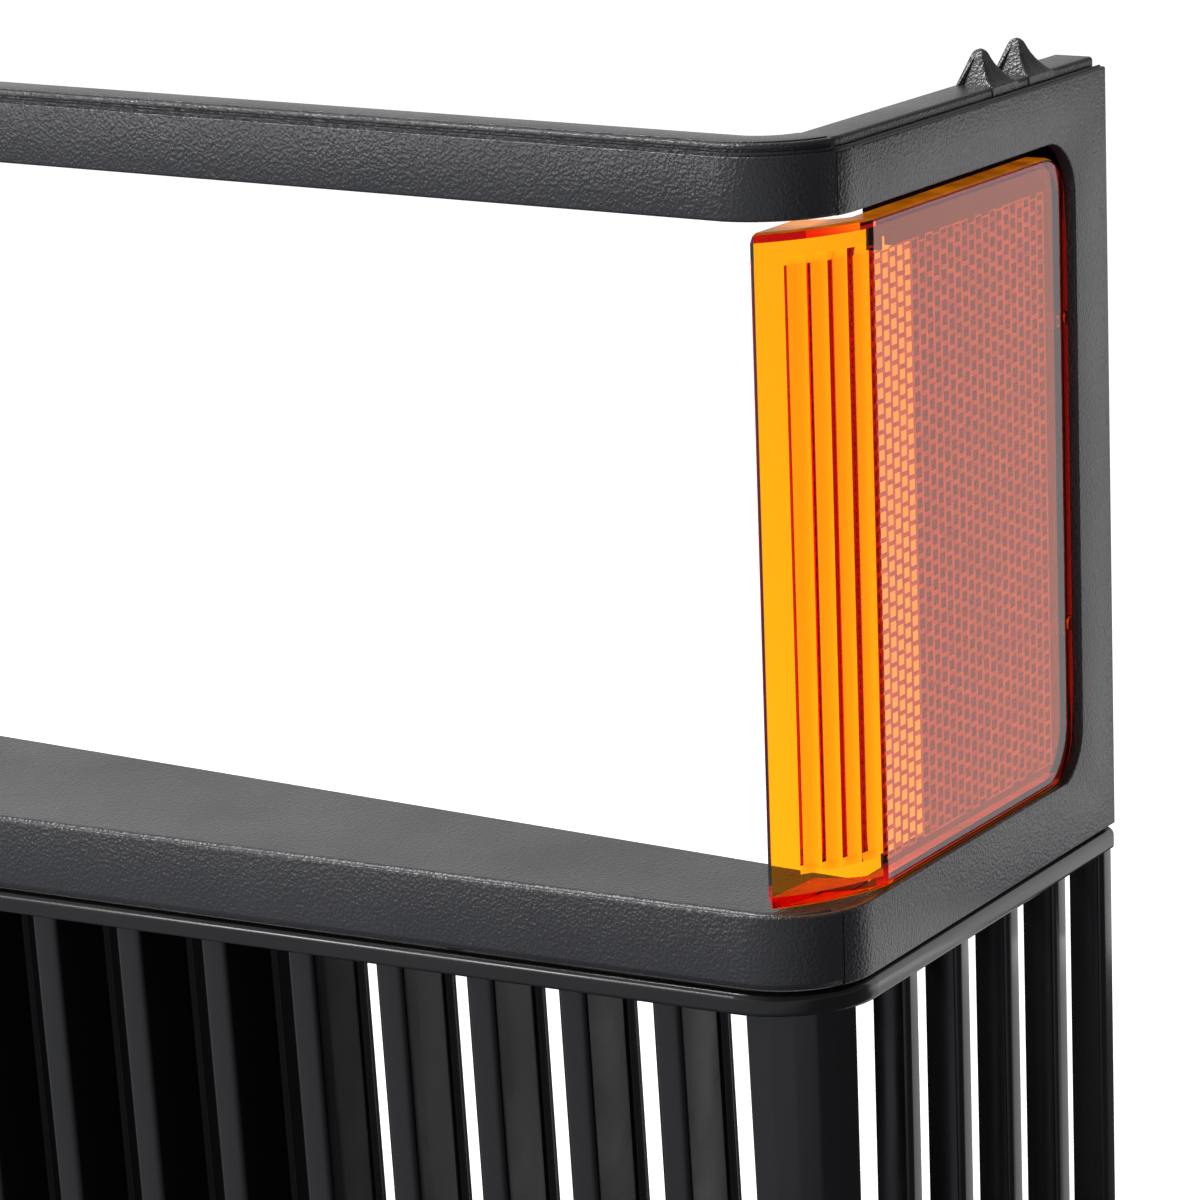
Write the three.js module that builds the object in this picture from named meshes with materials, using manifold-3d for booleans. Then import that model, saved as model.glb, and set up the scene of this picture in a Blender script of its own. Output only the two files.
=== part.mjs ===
// Front grille assembly of a truck: a bezel that frames two headlamp openings, amber corner
// lenses that wrap onto the sides, and a slatted grille below. Millimetres, +Z up, front to -Y.
import * as THREE from "three";
import { mergeVertices } from "three/addons/utils/BufferGeometryUtils.js";
import Module from "manifold-3d";

const wasm = await Module();
wasm.setup();

// ---- driving dimensions ------------------------------------------------------------------
const OVERALL_WIDTH = 1236; // outer side face to outer side face
const OVERALL_DEPTH = 157; // front face to the rear edge of the sides
const CLEARANCE = 0.3; // between neighbouring pieces

const CORNER_RADIUS = 22; // of the bezel's corners, seen from above
const WALL = 3; // of the bezel's mouldings
const FLANGE = 2.5; // thickness of their inward flanges
const BAR_HEIGHT = 17.5; // front face of the top bar and of the lower bar
const BAR_DEPTH = 12;
const SIDE_RAIL_DEPTH = 12.5;
const SHOULDER = 3; // height of the stepped edge along the top
const SHOULDER_INSET = 2.5;
const TOP_RISE = 0.0248; // the top bar climbs towards the middle by this slope
const CROWN_STEPS = 8;
const OPENING_HEIGHT = 158.2; // between the lower bar's lip and the top bar
const LIP_HEIGHT = 0.8; // of the lower bar's lip above its shelf
const LIP_WIDTH = 2;
const TOP_PARTING = 15.5; // how far round the corner the front bars reach
const SHELF_PARTING = 12;

const SHELF_CORNER_DEPTH = 38.5; // shelf, front to back, where it meets the side
const SHELF_SPLAY = 0.1135; // it deepens inwards by this slope, as far as the mullions
const MULLION_OFFSET = 300; // outer side face to the mullion's centre
const MULLION_WIDTH = 10;
const MULLION_DEPTH = 12;
const MULLION_SETBACK = 2.5;

const REAR_POST_WIDTH = 19;
const WINDOW_RADIUS = 14; // rounded rear corners of the lens window
const BACKING_RECESS = 8; // outer side face to the panel behind the reflector
const BACKING_START = 66;
const LEDGE_START = 46; // the backing's two arms, which the lens's edge rests against
const LEDGE_WIDTHS = [5, 12.9]; // along the shelf and along the top bar
const FIN_HEIGHT = 8;
const FIN_THICKNESS = 3;
const FIN_SETBACKS = [32, 52]; // rear edge to each fin

const LENS_WALL = 2.5;
const LENS_RECESS = 2.3; // outer side face to the lens
const LENS_RETURN = 5.2; // depth of its top and bottom edges along the side
const LENS_LEDGE = 20; // depth of the same edges at the lens's inner end
const LENS_TOP_GAP = 3.5; // up to the top bar
const LENS_REACH = 18; // outer side face to the lens's inner edge
const LENS_SETBACK = 7.5; // front face to the lens's inner edge
const LENS_TURN = 35; // where the curved front part meets the flat side part
const LENS_BULGE = 2.2;
const LENS_REAR_RADIUS = 12;
const LENS_PIN_RADIUS = 2;
const LENS_PIN_HEIGHTS = [38, 114]; // above the lens's lower edge
const LENS_PIN_SETBACK = 3.5; // from the lens's rear edge

const RAIL_HEIGHT = 5.8; // the grille's top rail
const RAIL_PLATE = 2.8;
const RAIL_BEAD = 4;
const GRILLE_INSET = 0.5;
const GRILLE_JOINT = 1; // between the rail and the bezel
const SLAT_DROP = 200;
const FOOT_RAIL = 14;
const GRILLE_RAKE = 0.057; // the front slats lean back by this slope as they go down
const GRILLE_RADIUS = 25;
const RAKE_FADE = 10;
const CORNER_END = 28.7; // how far the corner pieces reach along front and side
const SLAT_PITCH = 25;
const SLAT_WIDTH = 7.5;
const SLAT_DEPTH = 23;
const SLAT_CHAMFER = 1.2;
const SLAT_TAPER = 0.7; // on each flank, front to rear
const SLAT_FLANGE = 2; // thickness of the front slats' rear flange
const SLAT_FLANGE_REACH = 1.3; // how far it stands out past the slat's face
const OPEN_SLOTS = 5; // open on each side, next to the corner post; the rest have a back wall
const POST_REACH = 22.4; // outer side face to the corner post's inner edge
const POST_TURN = 17; // front face to its edge on the side
const POST_THICKNESS = 9;
const SIDE_PITCH = 27.5;
const SIDE_SLAT_WIDTH = 6.6;
const SIDE_SLAT_DEPTH = 9.5;
const SIDE_RAIL_PLATE_DEPTH = 12.5;
const CENTRE_RAIL = 6;

const SCREW_RADIUS = 2.1;
const SCREW_LENGTH = 13;
const HEAD_RADIUS = 4;
const HEAD_HEIGHT = 3.2;
const BOSS_RADIUS = 4.5;
const SCREW_SETBACK = 12; // front face to the front screws
const SIDE_SCREW_SETBACK = 8; // outer side face to the side screws
const FRONT_SCREWS = 3; // on each side of the middle, evenly spread
const SIDE_SCREWS = 2;

// ---- levels and places worked out from them ----------------------------------------------
const halfWidth = OVERALL_WIDTH / 2;
const lowerBarBottom = RAIL_HEIGHT + GRILLE_JOINT;
const lipTop = lowerBarBottom + BAR_HEIGHT;
const shelfTop = lipTop - LIP_HEIGHT;
const shelfUnder = shelfTop - FLANGE;
const barBottom = lipTop + OPENING_HEIGHT;
const barTop = barBottom + BAR_HEIGHT;
const shoulderTop = barTop - SHOULDER;
const lensBottom = shelfTop + CLEARANCE;
const lensTop = barBottom - LENS_TOP_GAP;
const windowRear = OVERALL_DEPTH - REAR_POST_WIDTH;
const lensRear = windowRear - CLEARANCE;
const mullionX = halfWidth - MULLION_OFFSET;
const frontSpan = halfWidth - POST_REACH + SLAT_WIDTH / 2;
const slatCount = Math.round(frontSpan / SLAT_PITCH);
const slatPitch = frontSpan / slatCount;
const footBottom = -(SLAT_DROP + FOOT_RAIL);

// ---- helpers -----------------------------------------------------------------------------
const plastic = (color, roughness) => new THREE.MeshStandardMaterial({ color, roughness, metalness: 0 });
const finishes = {
  bezel: () => plastic(0x434245, 0.55),
  grille: () => plastic(0x1b1a1b, 0.25),
  lens: () => plastic(0xff9a00, 0.1),
  screw: () => new THREE.MeshStandardMaterial({ color: 0xa8a9a6, roughness: 0.35, metalness: 1 }),
};

function solidOf(geometry) {
  const bare = geometry.clone();
  bare.deleteAttribute("normal");
  bare.deleteAttribute("uv");
  const merged = mergeVertices(bare, 1e-4);
  const mesh = { numProp: 3, vertProperties: merged.attributes.position.array };
  mesh.triVerts = new Uint32Array(merged.index.array);
  return new wasm.Manifold(new wasm.Mesh(mesh));
}

function geometryOf(solid) {
  const mesh = solid.getMesh();
  const geometry = new THREE.BufferGeometry();
  geometry.setAttribute("position", new THREE.BufferAttribute(new Float32Array(mesh.vertProperties), 3));
  geometry.setIndex([...mesh.triVerts]);
  return geometry;
}

const joined = (...geometries) => geometries.map(solidOf).reduce((whole, next) => whole.add(next));
const without = (solid, ...geometries) => geometries.map(solidOf).reduce((rest, cut) => rest.subtract(cut), solid);

// A prism on a plan outline, between two heights.
function prism(outline, low, high) {
  const shape = new THREE.Shape(outline.map(([x, y]) => new THREE.Vector2(x, y)));
  const geometry = new THREE.ExtrudeGeometry(shape, { depth: high - low, bevelEnabled: false });
  return geometry.translate(0, 0, low);
}

// A plate on an outline of (y, z) points, between two x values.
function sidePlate(shape, xLow, xHigh) {
  const geometry = new THREE.ExtrudeGeometry(shape, { depth: xHigh - xLow, bevelEnabled: false, curveSegments: 5 });
  const turn = new THREE.Matrix4().makeBasis(
    new THREE.Vector3(0, 1, 0), new THREE.Vector3(0, 0, 1), new THREE.Vector3(1, 0, 0));
  return geometry.applyMatrix4(turn).translate(xLow, 0, 0);
}

function box(x0, x1, y0, y1, z0, z1) {
  const geometry = new THREE.BoxGeometry(x1 - x0, y1 - y0, z1 - z0);
  return geometry.translate((x0 + x1) / 2, (y0 + y1) / 2, (z0 + z1) / 2);
}

function cylinder(radius, x, y, z0, z1, sides = 12) {
  const geometry = new THREE.CylinderGeometry(radius, radius, z1 - z0, sides);
  return geometry.rotateX(Math.PI / 2).translate(x, y, (z0 + z1) / 2);
}

// Turns a closed geometry's faces outwards after a mirror or a bend.
function facingOut(geometry) {
  const flat = geometry.index ? geometry.toNonIndexed() : geometry;
  const p = flat.attributes.position;
  const corner = [new THREE.Vector3(), new THREE.Vector3(), new THREE.Vector3()];
  let volume = 0;
  for (let i = 0; i < p.count; i += 3) {
    corner.forEach((v, n) => v.fromBufferAttribute(p, i + n));
    volume += corner[0].dot(corner[1].clone().cross(corner[2]));
  }
  if (volume > 0) return flat;
  for (let i = 0; i < p.count; i += 3) {
    corner.forEach((v, n) => v.fromBufferAttribute(p, i + n));
    p.setXYZ(i + 1, corner[2].x, corner[2].y, corner[2].z);
    p.setXYZ(i + 2, corner[1].x, corner[1].y, corner[1].z);
  }
  return flat;
}

const mirrored = (geometry) => facingOut(geometry.clone().applyMatrix4(new THREE.Matrix4().makeScale(-1, 1, 1)));

// A section of (inset, z) points, carried along stations on the outer face.
function sweep(section, stations) {
  const shape = new THREE.Shape(section.map(([u, z]) => new THREE.Vector2(u, z)));
  const steps = stations.length - 1;
  const geometry = new THREE.ExtrudeGeometry(shape, { depth: steps, steps, bevelEnabled: false });
  const p = geometry.attributes.position;
  for (let i = 0; i < p.count; i++) {
    const station = stations[Math.round(p.getZ(i))];
    const inset = p.getX(i);
    p.setXYZ(i, station.x + station.nx * inset, station.y + station.ny * inset, p.getY(i) + station.lift);
  }
  return facingOut(geometry);
}

// The top bar's climb: even as far as the mullion, then easing to level in the middle.
function riseAt(x) {
  const fromCorner = Math.max(0, halfWidth - CORNER_RADIUS - Math.abs(x));
  const eased = Math.max(0, mullionX - Math.abs(x));
  return TOP_RISE * (fromCorner - eased ** 2 / (2 * mullionX));
}

const frontStation = (x, lift = 0) => ({ x, y: 0, nx: 0, ny: 1, lift });

// Stations of the crown between two places the same distance from the middle.
function crownStations(end) {
  const places = Array.from({ length: CROWN_STEPS + 1 }, (_, n) => end * ((2 * n) / CROWN_STEPS - 1));
  return places.map((x) => frontStation(x, riseAt(x)));
}

const sideStation = (y) => ({ x: halfWidth, y, nx: -1, ny: 0, lift: 0 });

// Stations round the right corner, from one angle to another: 0 faces forward, 90 faces right.
function cornerStations(fromAngle, toAngle, count, radius = CORNER_RADIUS, inset = 0) {
  return Array.from({ length: count + 1 }, (_, n) => {
    const a = fromAngle + ((toAngle - fromAngle) * n) / count;
    const reach = radius - inset;
    return {
      x: halfWidth - radius + reach * Math.sin(a), y: radius - reach * Math.cos(a),
      nx: -Math.sin(a), ny: Math.cos(a), lift: 0,
    };
  });
}

const partingAngle = (y) => Math.acos((CORNER_RADIUS - y) / CORNER_RADIUS);
const halfGapAngle = CLEARANCE / 2 / CORNER_RADIUS;
const flipped = (stations) => stations.map((s) => ({ ...s, x: -s.x, nx: -s.nx })).reverse();
const planOf = (stations) => stations.map((s) => [s.x, s.y]);

// ---- bezel -------------------------------------------------------------------------------
function barSection(bottom, top, depth) {
  return [
    [1.2, bottom], [depth, bottom], [depth, bottom + FLANGE], [WALL, bottom + FLANGE],
    [WALL, top - FLANGE], [depth, top - FLANGE], [depth, top], [SHOULDER_INSET, top],
    [1, top - SHOULDER + 0.6], [0, top - SHOULDER], [0, bottom + 1.2],
  ];
}

function topBar() {
  const turn = cornerStations(0, partingAngle(TOP_PARTING) - halfGapAngle, 6);
  const crown = crownStations(mullionX);
  return sweep(barSection(barBottom, barTop, BAR_DEPTH), [...flipped(turn), ...crown, ...turn]);
}

const shelfBack = (x) => {
  const splayed = Math.min(halfWidth - Math.abs(x), MULLION_OFFSET) - SIDE_RAIL_DEPTH;
  return SHELF_CORNER_DEPTH + SHELF_SPLAY * Math.max(0, splayed);
};

function lowerBarSection(depth) {
  return [
    [0.8, lowerBarBottom], [WALL, lowerBarBottom], [WALL, shelfUnder], [depth, shelfUnder],
    [depth, shelfTop], [LIP_WIDTH, shelfTop], [LIP_WIDTH - 0.5, lipTop], [0.5, lipTop],
    [0, lipTop - 0.6], [0, lowerBarBottom + 0.8],
  ];
}

function shelfPlan() {
  const parting = partingAngle(SHELF_PARTING) - halfGapAngle;
  const inner = SIDE_RAIL_DEPTH + CLEARANCE;
  const outerArc = planOf(cornerStations(0, parting, 6, CORNER_RADIUS, WALL - 1));
  const innerArc = planOf(cornerStations(parting, Math.PI / 2, 3, CORNER_RADIUS, inner));
  const innerX = halfWidth - inner;
  const right = [...outerArc, ...innerArc, [innerX, shelfBack(innerX)], [mullionX, shelfBack(mullionX)]];
  return [...right, ...right.map(([x, y]) => [-x, y]).reverse()];
}

// Screws sit in the gaps between slats that are nearest to an even spread.
function screwPlaces() {
  const spread = (span, count) => Array.from({ length: count }, (_, n) => ((n + 0.5) * span) / count);
  const gapNearest = (distance, pitch) => Math.round(distance / pitch - 0.5) + 0.5;
  const front = spread(frontSpan, FRONT_SCREWS).map((x) => gapNearest(x, slatPitch) * slatPitch);
  const side = spread(OVERALL_DEPTH - CORNER_END, SIDE_SCREWS).map((back) => gapNearest(back, SIDE_PITCH));
  const sideMiddle = OVERALL_DEPTH - SIDE_SLAT_WIDTH / 2;
  return {
    front: front.map((x) => [x, SCREW_SETBACK]),
    side: side.map((gaps) => [halfWidth - SIDE_SCREW_SETBACK, sideMiddle - gaps * SIDE_PITCH]),
  };
}

const boss = ([x, y]) => cylinder(BOSS_RADIUS, x, y, RAIL_HEIGHT + CLEARANCE, shelfUnder + 0.5);
const bore = ([x, y]) => cylinder(SCREW_RADIUS + CLEARANCE, x, y, 0, RAIL_HEIGHT + SCREW_LENGTH - 1);
const onLeft = ([x, y]) => [-x, y];

function shelfBar() {
  const turn = cornerStations(0, partingAngle(SHELF_PARTING) - halfGapAngle, 6);
  const face = sweep(lowerBarSection(WALL + 1), [...flipped(turn), ...turn]);
  const places = [...screwPlaces().front, ...screwPlaces().front.map(onLeft)];
  const whole = joined(face, prism(shelfPlan(), shelfUnder, shelfTop), ...places.map(boss));
  return geometryOf(without(whole, ...places.map(bore)));
}

function mullion() {
  const half = MULLION_WIDTH / 2;
  const top = barBottom + riseAt(mullionX + half) - CLEARANCE;
  const front = MULLION_SETBACK;
  const outline = [
    [mullionX - half, front + 1.5], [mullionX - half + 1.5, front], [mullionX + half - 1.5, front],
    [mullionX + half, front + 1.5], [mullionX + half, front + MULLION_DEPTH],
    [mullionX - half, front + MULLION_DEPTH],
  ];
  return prism(outline, shelfTop + CLEARANCE, top);
}

function fin(y) {
  const inner = halfWidth - SIDE_RAIL_DEPTH;
  const shape = new THREE.Shape();
  shape.moveTo(inner, barTop - 1.5);
  shape.lineTo(halfWidth - SHOULDER_INSET, barTop - 1.5);
  shape.quadraticCurveTo(inner + 6.5, barTop + 2.5, inner + 4.2, barTop + FIN_HEIGHT - CLEARANCE);
  shape.quadraticCurveTo(inner + 1.5, barTop + FIN_HEIGHT, inner, barTop + 1);
  const geometry = new THREE.ExtrudeGeometry(shape, { depth: FIN_THICKNESS, bevelEnabled: false, curveSegments: 4 });
  return geometry.rotateX(Math.PI / 2).translate(0, y + FIN_THICKNESS / 2, 0);
}

// The outer side wall beyond the corner: two rails and the rear post round the lens window.
function sideWallShape() {
  const shape = new THREE.Shape();
  shape.moveTo(CORNER_RADIUS, lowerBarBottom);
  shape.lineTo(OVERALL_DEPTH, lowerBarBottom);
  shape.lineTo(OVERALL_DEPTH, shoulderTop);
  shape.lineTo(CORNER_RADIUS, shoulderTop);
  shape.lineTo(CORNER_RADIUS, barBottom);
  shape.lineTo(windowRear - WINDOW_RADIUS, barBottom);
  shape.quadraticCurveTo(windowRear, barBottom, windowRear, barBottom - WINDOW_RADIUS);
  shape.lineTo(windowRear, shelfTop + WINDOW_RADIUS);
  shape.quadraticCurveTo(windowRear, shelfTop, windowRear - WINDOW_RADIUS, shelfTop);
  shape.lineTo(CORNER_RADIUS, shelfTop);
  return shape;
}

function sideFrame() {
  const topTurn = cornerStations(partingAngle(TOP_PARTING) + halfGapAngle, Math.PI / 2, 3);
  const lowTurn = cornerStations(partingAngle(SHELF_PARTING) + halfGapAngle, Math.PI / 2, 3);
  const topRail = sweep(barSection(barBottom, barTop, SIDE_RAIL_DEPTH), [...topTurn, sideStation(OVERALL_DEPTH)]);
  const lowRail = sweep(lowerBarSection(SIDE_RAIL_DEPTH), [...lowTurn, sideStation(OVERALL_DEPTH)]);
  const wall = sidePlate(sideWallShape(), halfWidth - WALL + 0.7, halfWidth);
  const inner = halfWidth - SIDE_RAIL_DEPTH;
  const rearReturn = box(inner, halfWidth, OVERALL_DEPTH - WALL, OVERALL_DEPTH, lowerBarBottom, shoulderTop);
  const panelX = halfWidth - BACKING_RECESS;
  const plate = (start, low, high) => box(panelX - FLANGE, panelX, start, OVERALL_DEPTH - 1, low, high);
  const backing = [
    plate(BACKING_START, shelfUnder, barBottom + FLANGE), plate(LEDGE_START, shelfUnder, shelfTop + LEDGE_WIDTHS[0]),
    plate(LEDGE_START, barBottom - LEDGE_WIDTHS[1], barBottom + FLANGE),
  ];
  const fins = FIN_SETBACKS.map((back) => fin(OVERALL_DEPTH - back));
  const places = screwPlaces().side;
  const whole = joined(topRail, lowRail, wall, rearReturn, ...backing, ...fins, ...places.map(boss));
  return geometryOf(without(whole, ...places.map(bore)));
}

// ---- amber corner lens -------------------------------------------------------------------
// Its outer face in plan: a shallow arc from the inner edge to the turn.
function lensFace(inset) {
  const start = new THREE.Vector2(halfWidth - LENS_REACH, LENS_SETBACK);
  const end = new THREE.Vector2(halfWidth - LENS_RECESS, LENS_TURN);
  const chord = end.clone().sub(start);
  const outward = new THREE.Vector2(chord.y, -chord.x).normalize();
  const radius = (chord.lengthSq() / 4 + LENS_BULGE ** 2) / (2 * LENS_BULGE);
  const centre = start.clone().lerp(end, 0.5).addScaledVector(outward, LENS_BULGE - radius);
  const first = start.clone().sub(centre).angle();
  const sweepAngle = end.clone().sub(centre).angle() - first;
  const turnStep = sweepAngle > Math.PI ? sweepAngle - 2 * Math.PI : sweepAngle;
  return Array.from({ length: 8 }, (_, n) => {
    const a = first + (turnStep * n) / 7;
    return [centre.x + (radius - inset) * Math.cos(a), centre.y + (radius - inset) * Math.sin(a)];
  });
}

function lensBand(depth, low, high) {
  const inner = lensFace(depth);
  const backX = halfWidth - LENS_RECESS - depth;
  const cornerOut = [halfWidth - LENS_RECESS, LENS_TURN + 12];
  return prism([...lensFace(0), cornerOut, [backX, LENS_TURN + 12], ...inner.slice(0, -1).reverse()], low, high);
}

// The top and bottom edges widen towards the inner end, where they cover the lamp.
function lensLedge(low, high) {
  const returnX = halfWidth - LENS_RECESS - LENS_RETURN;
  return prism([
    ...lensFace(0), [halfWidth - LENS_RECESS, LENS_TURN + 12], [returnX, LENS_TURN + 12], [returnX, LENS_TURN],
    [halfWidth - LENS_REACH, LENS_SETBACK + LENS_LEDGE],
  ], low, high);
}

function lensPanelShape() {
  const start = LENS_TURN + 1;
  const shape = new THREE.Shape();
  shape.moveTo(start, lensBottom);
  shape.lineTo(lensRear - LENS_REAR_RADIUS, lensBottom);
  shape.quadraticCurveTo(lensRear, lensBottom, lensRear, lensBottom + LENS_REAR_RADIUS);
  shape.lineTo(lensRear, lensTop - LENS_REAR_RADIUS);
  shape.quadraticCurveTo(lensRear, lensTop, lensRear - LENS_REAR_RADIUS, lensTop);
  shape.lineTo(start, lensTop);
  return shape;
}

function lens() {
  const outer = halfWidth - LENS_RECESS;
  const panel = sidePlate(lensPanelShape(), outer - LENS_WALL, outer);
  const front = lensBand(LENS_WALL, lensBottom, lensTop);
  const returnEnd = lensRear - LENS_REAR_RADIUS;
  const edges = [[lensBottom, lensBottom + LENS_WALL], [lensTop - LENS_WALL, lensTop]].flatMap(([low, high]) => [
    lensLedge(low, high), box(outer - LENS_RETURN, outer - 0.5, LENS_TURN + 5, returnEnd, low, high),
  ]);
  const pins = LENS_PIN_HEIGHTS.map((height) => {
    const pin = new THREE.CylinderGeometry(LENS_PIN_RADIUS, LENS_PIN_RADIUS, LENS_RETURN - 0.5, 12);
    const x = outer - 0.5 - (LENS_RETURN - 0.5) / 2;
    return pin.rotateZ(Math.PI / 2).translate(x, lensRear - LENS_PIN_SETBACK, lensBottom + height);
  });
  return geometryOf(joined(panel, front, ...edges, ...pins));
}

// ---- slatted grilles ---------------------------------------------------------------------
function bladeEdge(x, front, half) {
  return [
    [x - half, front + SLAT_CHAMFER], [x - half + SLAT_CHAMFER, front], [x + half - SLAT_CHAMFER, front],
    [x + half, front + SLAT_CHAMFER],
  ];
}

function slatOutline(x, front, width, depth) {
  const half = width / 2;
  const web = half - SLAT_TAPER;
  return [...bladeEdge(x, front, half), [x + web, front + depth], [x - web, front + depth]];
}

// The front slats widen again at the rear, into a flange.
function flangedSlat(x, front, depth) {
  const half = SLAT_WIDTH / 2;
  const web = half - SLAT_TAPER;
  const wide = half + SLAT_FLANGE_REACH;
  const rear = front + depth;
  const flange = rear - SLAT_FLANGE;
  return [
    ...bladeEdge(x, front, half), [x + web, flange], [x + wide, flange], [x + wide, rear], [x - wide, rear],
    [x - wide, flange], [x - web, flange],
  ];
}

// Leans everything below the rail backwards, by a share of the rake that may change in plan.
function raked(geometry, share = () => 1) {
  const p = geometry.attributes.position;
  for (let i = 0; i < p.count; i++) {
    p.setY(i, p.getY(i) + GRILLE_RAKE * Math.max(0, -p.getZ(i)) * share(p.getX(i), p.getY(i)));
  }
  return geometry;
}

const railPlateBottom = RAIL_HEIGHT - RAIL_PLATE;
const grilleBack = GRILLE_INSET + SLAT_DEPTH;
const slatTop = RAIL_HEIGHT - 1;

function frontGrille() {
  const end = halfWidth - CORNER_END - CLEARANCE;
  const slats = [];
  for (let k = 1 - slatCount; k < slatCount; k++) {
    slats.push(raked(prism(flangedSlat(k * slatPitch, GRILLE_INSET, SLAT_DEPTH), -SLAT_DROP - 1, slatTop)));
  }
  const wallEnd = (slatCount - OPEN_SLOTS) * slatPitch;
  const wall = raked(box(-wallEnd, wallEnd, grilleBack - SLAT_FLANGE, grilleBack, -SLAT_DROP - 1, slatTop));
  const bead = box(-end, end, GRILLE_INSET, GRILLE_INSET + RAIL_BEAD, 0, RAIL_HEIGHT);
  const plate = box(-end, end, GRILLE_INSET, grilleBack, railPlateBottom, RAIL_HEIGHT);
  const foot = raked(box(-end, end, GRILLE_INSET, grilleBack, footBottom, -SLAT_DROP));
  const places = [...screwPlaces().front, ...screwPlaces().front.map(onLeft)];
  return geometryOf(without(joined(bead, plate, foot, wall, ...slats), ...places.map(bore)));
}

// The rake fades from the front grille's full lean to the upright side.
const clamped = (value) => Math.min(1, Math.max(0, value));
function cornerShare(x, y) {
  if (x < halfWidth - CORNER_END + CLEARANCE) return 1;
  return clamped((halfWidth - x) / POST_REACH) * clamped((CORNER_END - y) / RAKE_FADE);
}

function cornerPost() {
  const radius = GRILLE_RADIUS;
  const arc = planOf(cornerStations(0, Math.PI / 2, 6, radius, GRILLE_INSET));
  const sideX = halfWidth - GRILLE_INSET - SIDE_SLAT_DEPTH;
  const frontEnd = halfWidth - CORNER_END;
  const rails = [
    [frontEnd, GRILLE_INSET], ...arc, [halfWidth - GRILLE_INSET, CORNER_END], [sideX, CORNER_END],
    [sideX, grilleBack], [frontEnd, grilleBack],
  ];
  const fromAngle = Math.asin(Math.max(0, (radius - POST_REACH) / (radius - GRILLE_INSET)));
  const toAngle = Math.acos((radius - POST_TURN) / (radius - GRILLE_INSET));
  const face = planOf(cornerStations(fromAngle, toAngle, 5, radius, GRILLE_INSET));
  const back = planOf(cornerStations(fromAngle, toAngle, 3, radius, GRILLE_INSET + POST_THICKNESS)).reverse();
  const post = raked(prism([...face, ...back], -SLAT_DROP - 1, slatTop), cornerShare);
  const foot = raked(prism(rails, footBottom, -SLAT_DROP), cornerShare);
  return geometryOf(joined(prism(rails, 0, RAIL_HEIGHT), post, foot));
}

function sideGrille() {
  const start = CORNER_END + CLEARANCE;
  const outer = halfWidth - GRILLE_INSET;
  const inner = outer - SIDE_RAIL_PLATE_DEPTH + GRILLE_INSET;
  const slats = [];
  for (let rear = OVERALL_DEPTH; rear - SIDE_SLAT_WIDTH > start + 2; rear -= SIDE_PITCH) {
    const middle = rear - SIDE_SLAT_WIDTH / 2;
    const outline = slatOutline(middle, 0, SIDE_SLAT_WIDTH, SIDE_SLAT_DEPTH).map(([along, depth]) => [outer - depth, along]);
    slats.push(prism(outline.reverse(), -SLAT_DROP - 1, slatTop));
  }
  const bead = box(outer - RAIL_BEAD, outer, start, OVERALL_DEPTH, 0, RAIL_HEIGHT);
  const plate = box(inner, outer, start, OVERALL_DEPTH, railPlateBottom, RAIL_HEIGHT);
  const foot = box(outer - SIDE_SLAT_DEPTH, outer, start, OVERALL_DEPTH, footBottom, -SLAT_DROP);
  return geometryOf(without(joined(bead, plate, foot, ...slats), ...screwPlaces().side.map(bore)));
}

function centreGrille() {
  const end = mullionX - MULLION_WIDTH / 2 - CLEARANCE;
  const front = MULLION_SETBACK + 0.5;
  const back = front + SLAT_DEPTH;
  const low = shelfTop + CLEARANCE;
  const top = barBottom - CLEARANCE;
  const headSection = [[front, top - CENTRE_RAIL], [back, top - CENTRE_RAIL], [back, top], [front, top]];
  const head = sweep(headSection, crownStations(end));
  const foot = box(-end, end, front, back, low, low + CENTRE_RAIL);
  const slats = [];
  const reach = Math.floor((end - SLAT_WIDTH - SLAT_FLANGE_REACH) / slatPitch);
  for (let k = -reach; k <= reach; k++) {
    const x = k * slatPitch;
    slats.push(prism(flangedSlat(x, front, SLAT_DEPTH - 0.5), low + 2, top - 3 + riseAt(x)));
  }
  return geometryOf(joined(head, foot, ...slats));
}

// ---- screws that hold the grille to the bezel --------------------------------------------
function screw([x, y]) {
  const headTop = railPlateBottom - CLEARANCE;
  const head = cylinder(HEAD_RADIUS, x, y, headTop - HEAD_HEIGHT, headTop, 6);
  const shank = cylinder(SCREW_RADIUS, x, y, headTop - 1, headTop + SCREW_LENGTH);
  return geometryOf(joined(head, shank));
}

// ---- assembly ----------------------------------------------------------------------------
const assembly = new THREE.Group();
assembly.position.set(0, -OVERALL_DEPTH / 2, -footBottom);

function piece(name, geometry, finish) {
  const mesh = new THREE.Mesh(geometry, finishes[finish]());
  mesh.name = name;
  assembly.add(mesh);
}

function pair(name, geometry, finish) {
  piece(`${name}_right`, geometry, finish);
  piece(`${name}_left`, mirrored(geometry), finish);
}

piece("top_bar", topBar(), "bezel");
piece("shelf_bar", shelfBar(), "bezel");
pair("mullion", mullion(), "bezel");
pair("side_frame", sideFrame(), "bezel");
pair("corner_lens", lens(), "lens");
piece("centre_grille", centreGrille(), "grille");
piece("front_grille", frontGrille(), "grille");
pair("corner_post", cornerPost(), "grille");
pair("side_grille", sideGrille(), "grille");
screwPlaces().front.forEach((place, n) => pair(`front_screw_${n + 1}`, screw(place), "screw"));
screwPlaces().side.forEach((place, n) => pair(`side_screw_${n + 1}`, screw(place), "screw"));

const frontGrilleAssembly = new THREE.Group();
frontGrilleAssembly.add(assembly);
export default frontGrilleAssembly;
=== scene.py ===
# %% [markdown]
# # A truck's front grille assembly
# A moulded bezel frames two headlamp openings. Amber lenses wrap round its corners, and a slatted
# grille hangs below it. The plain CAD model gives the sizes, and this lesson makes the surfaces.

import math

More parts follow.
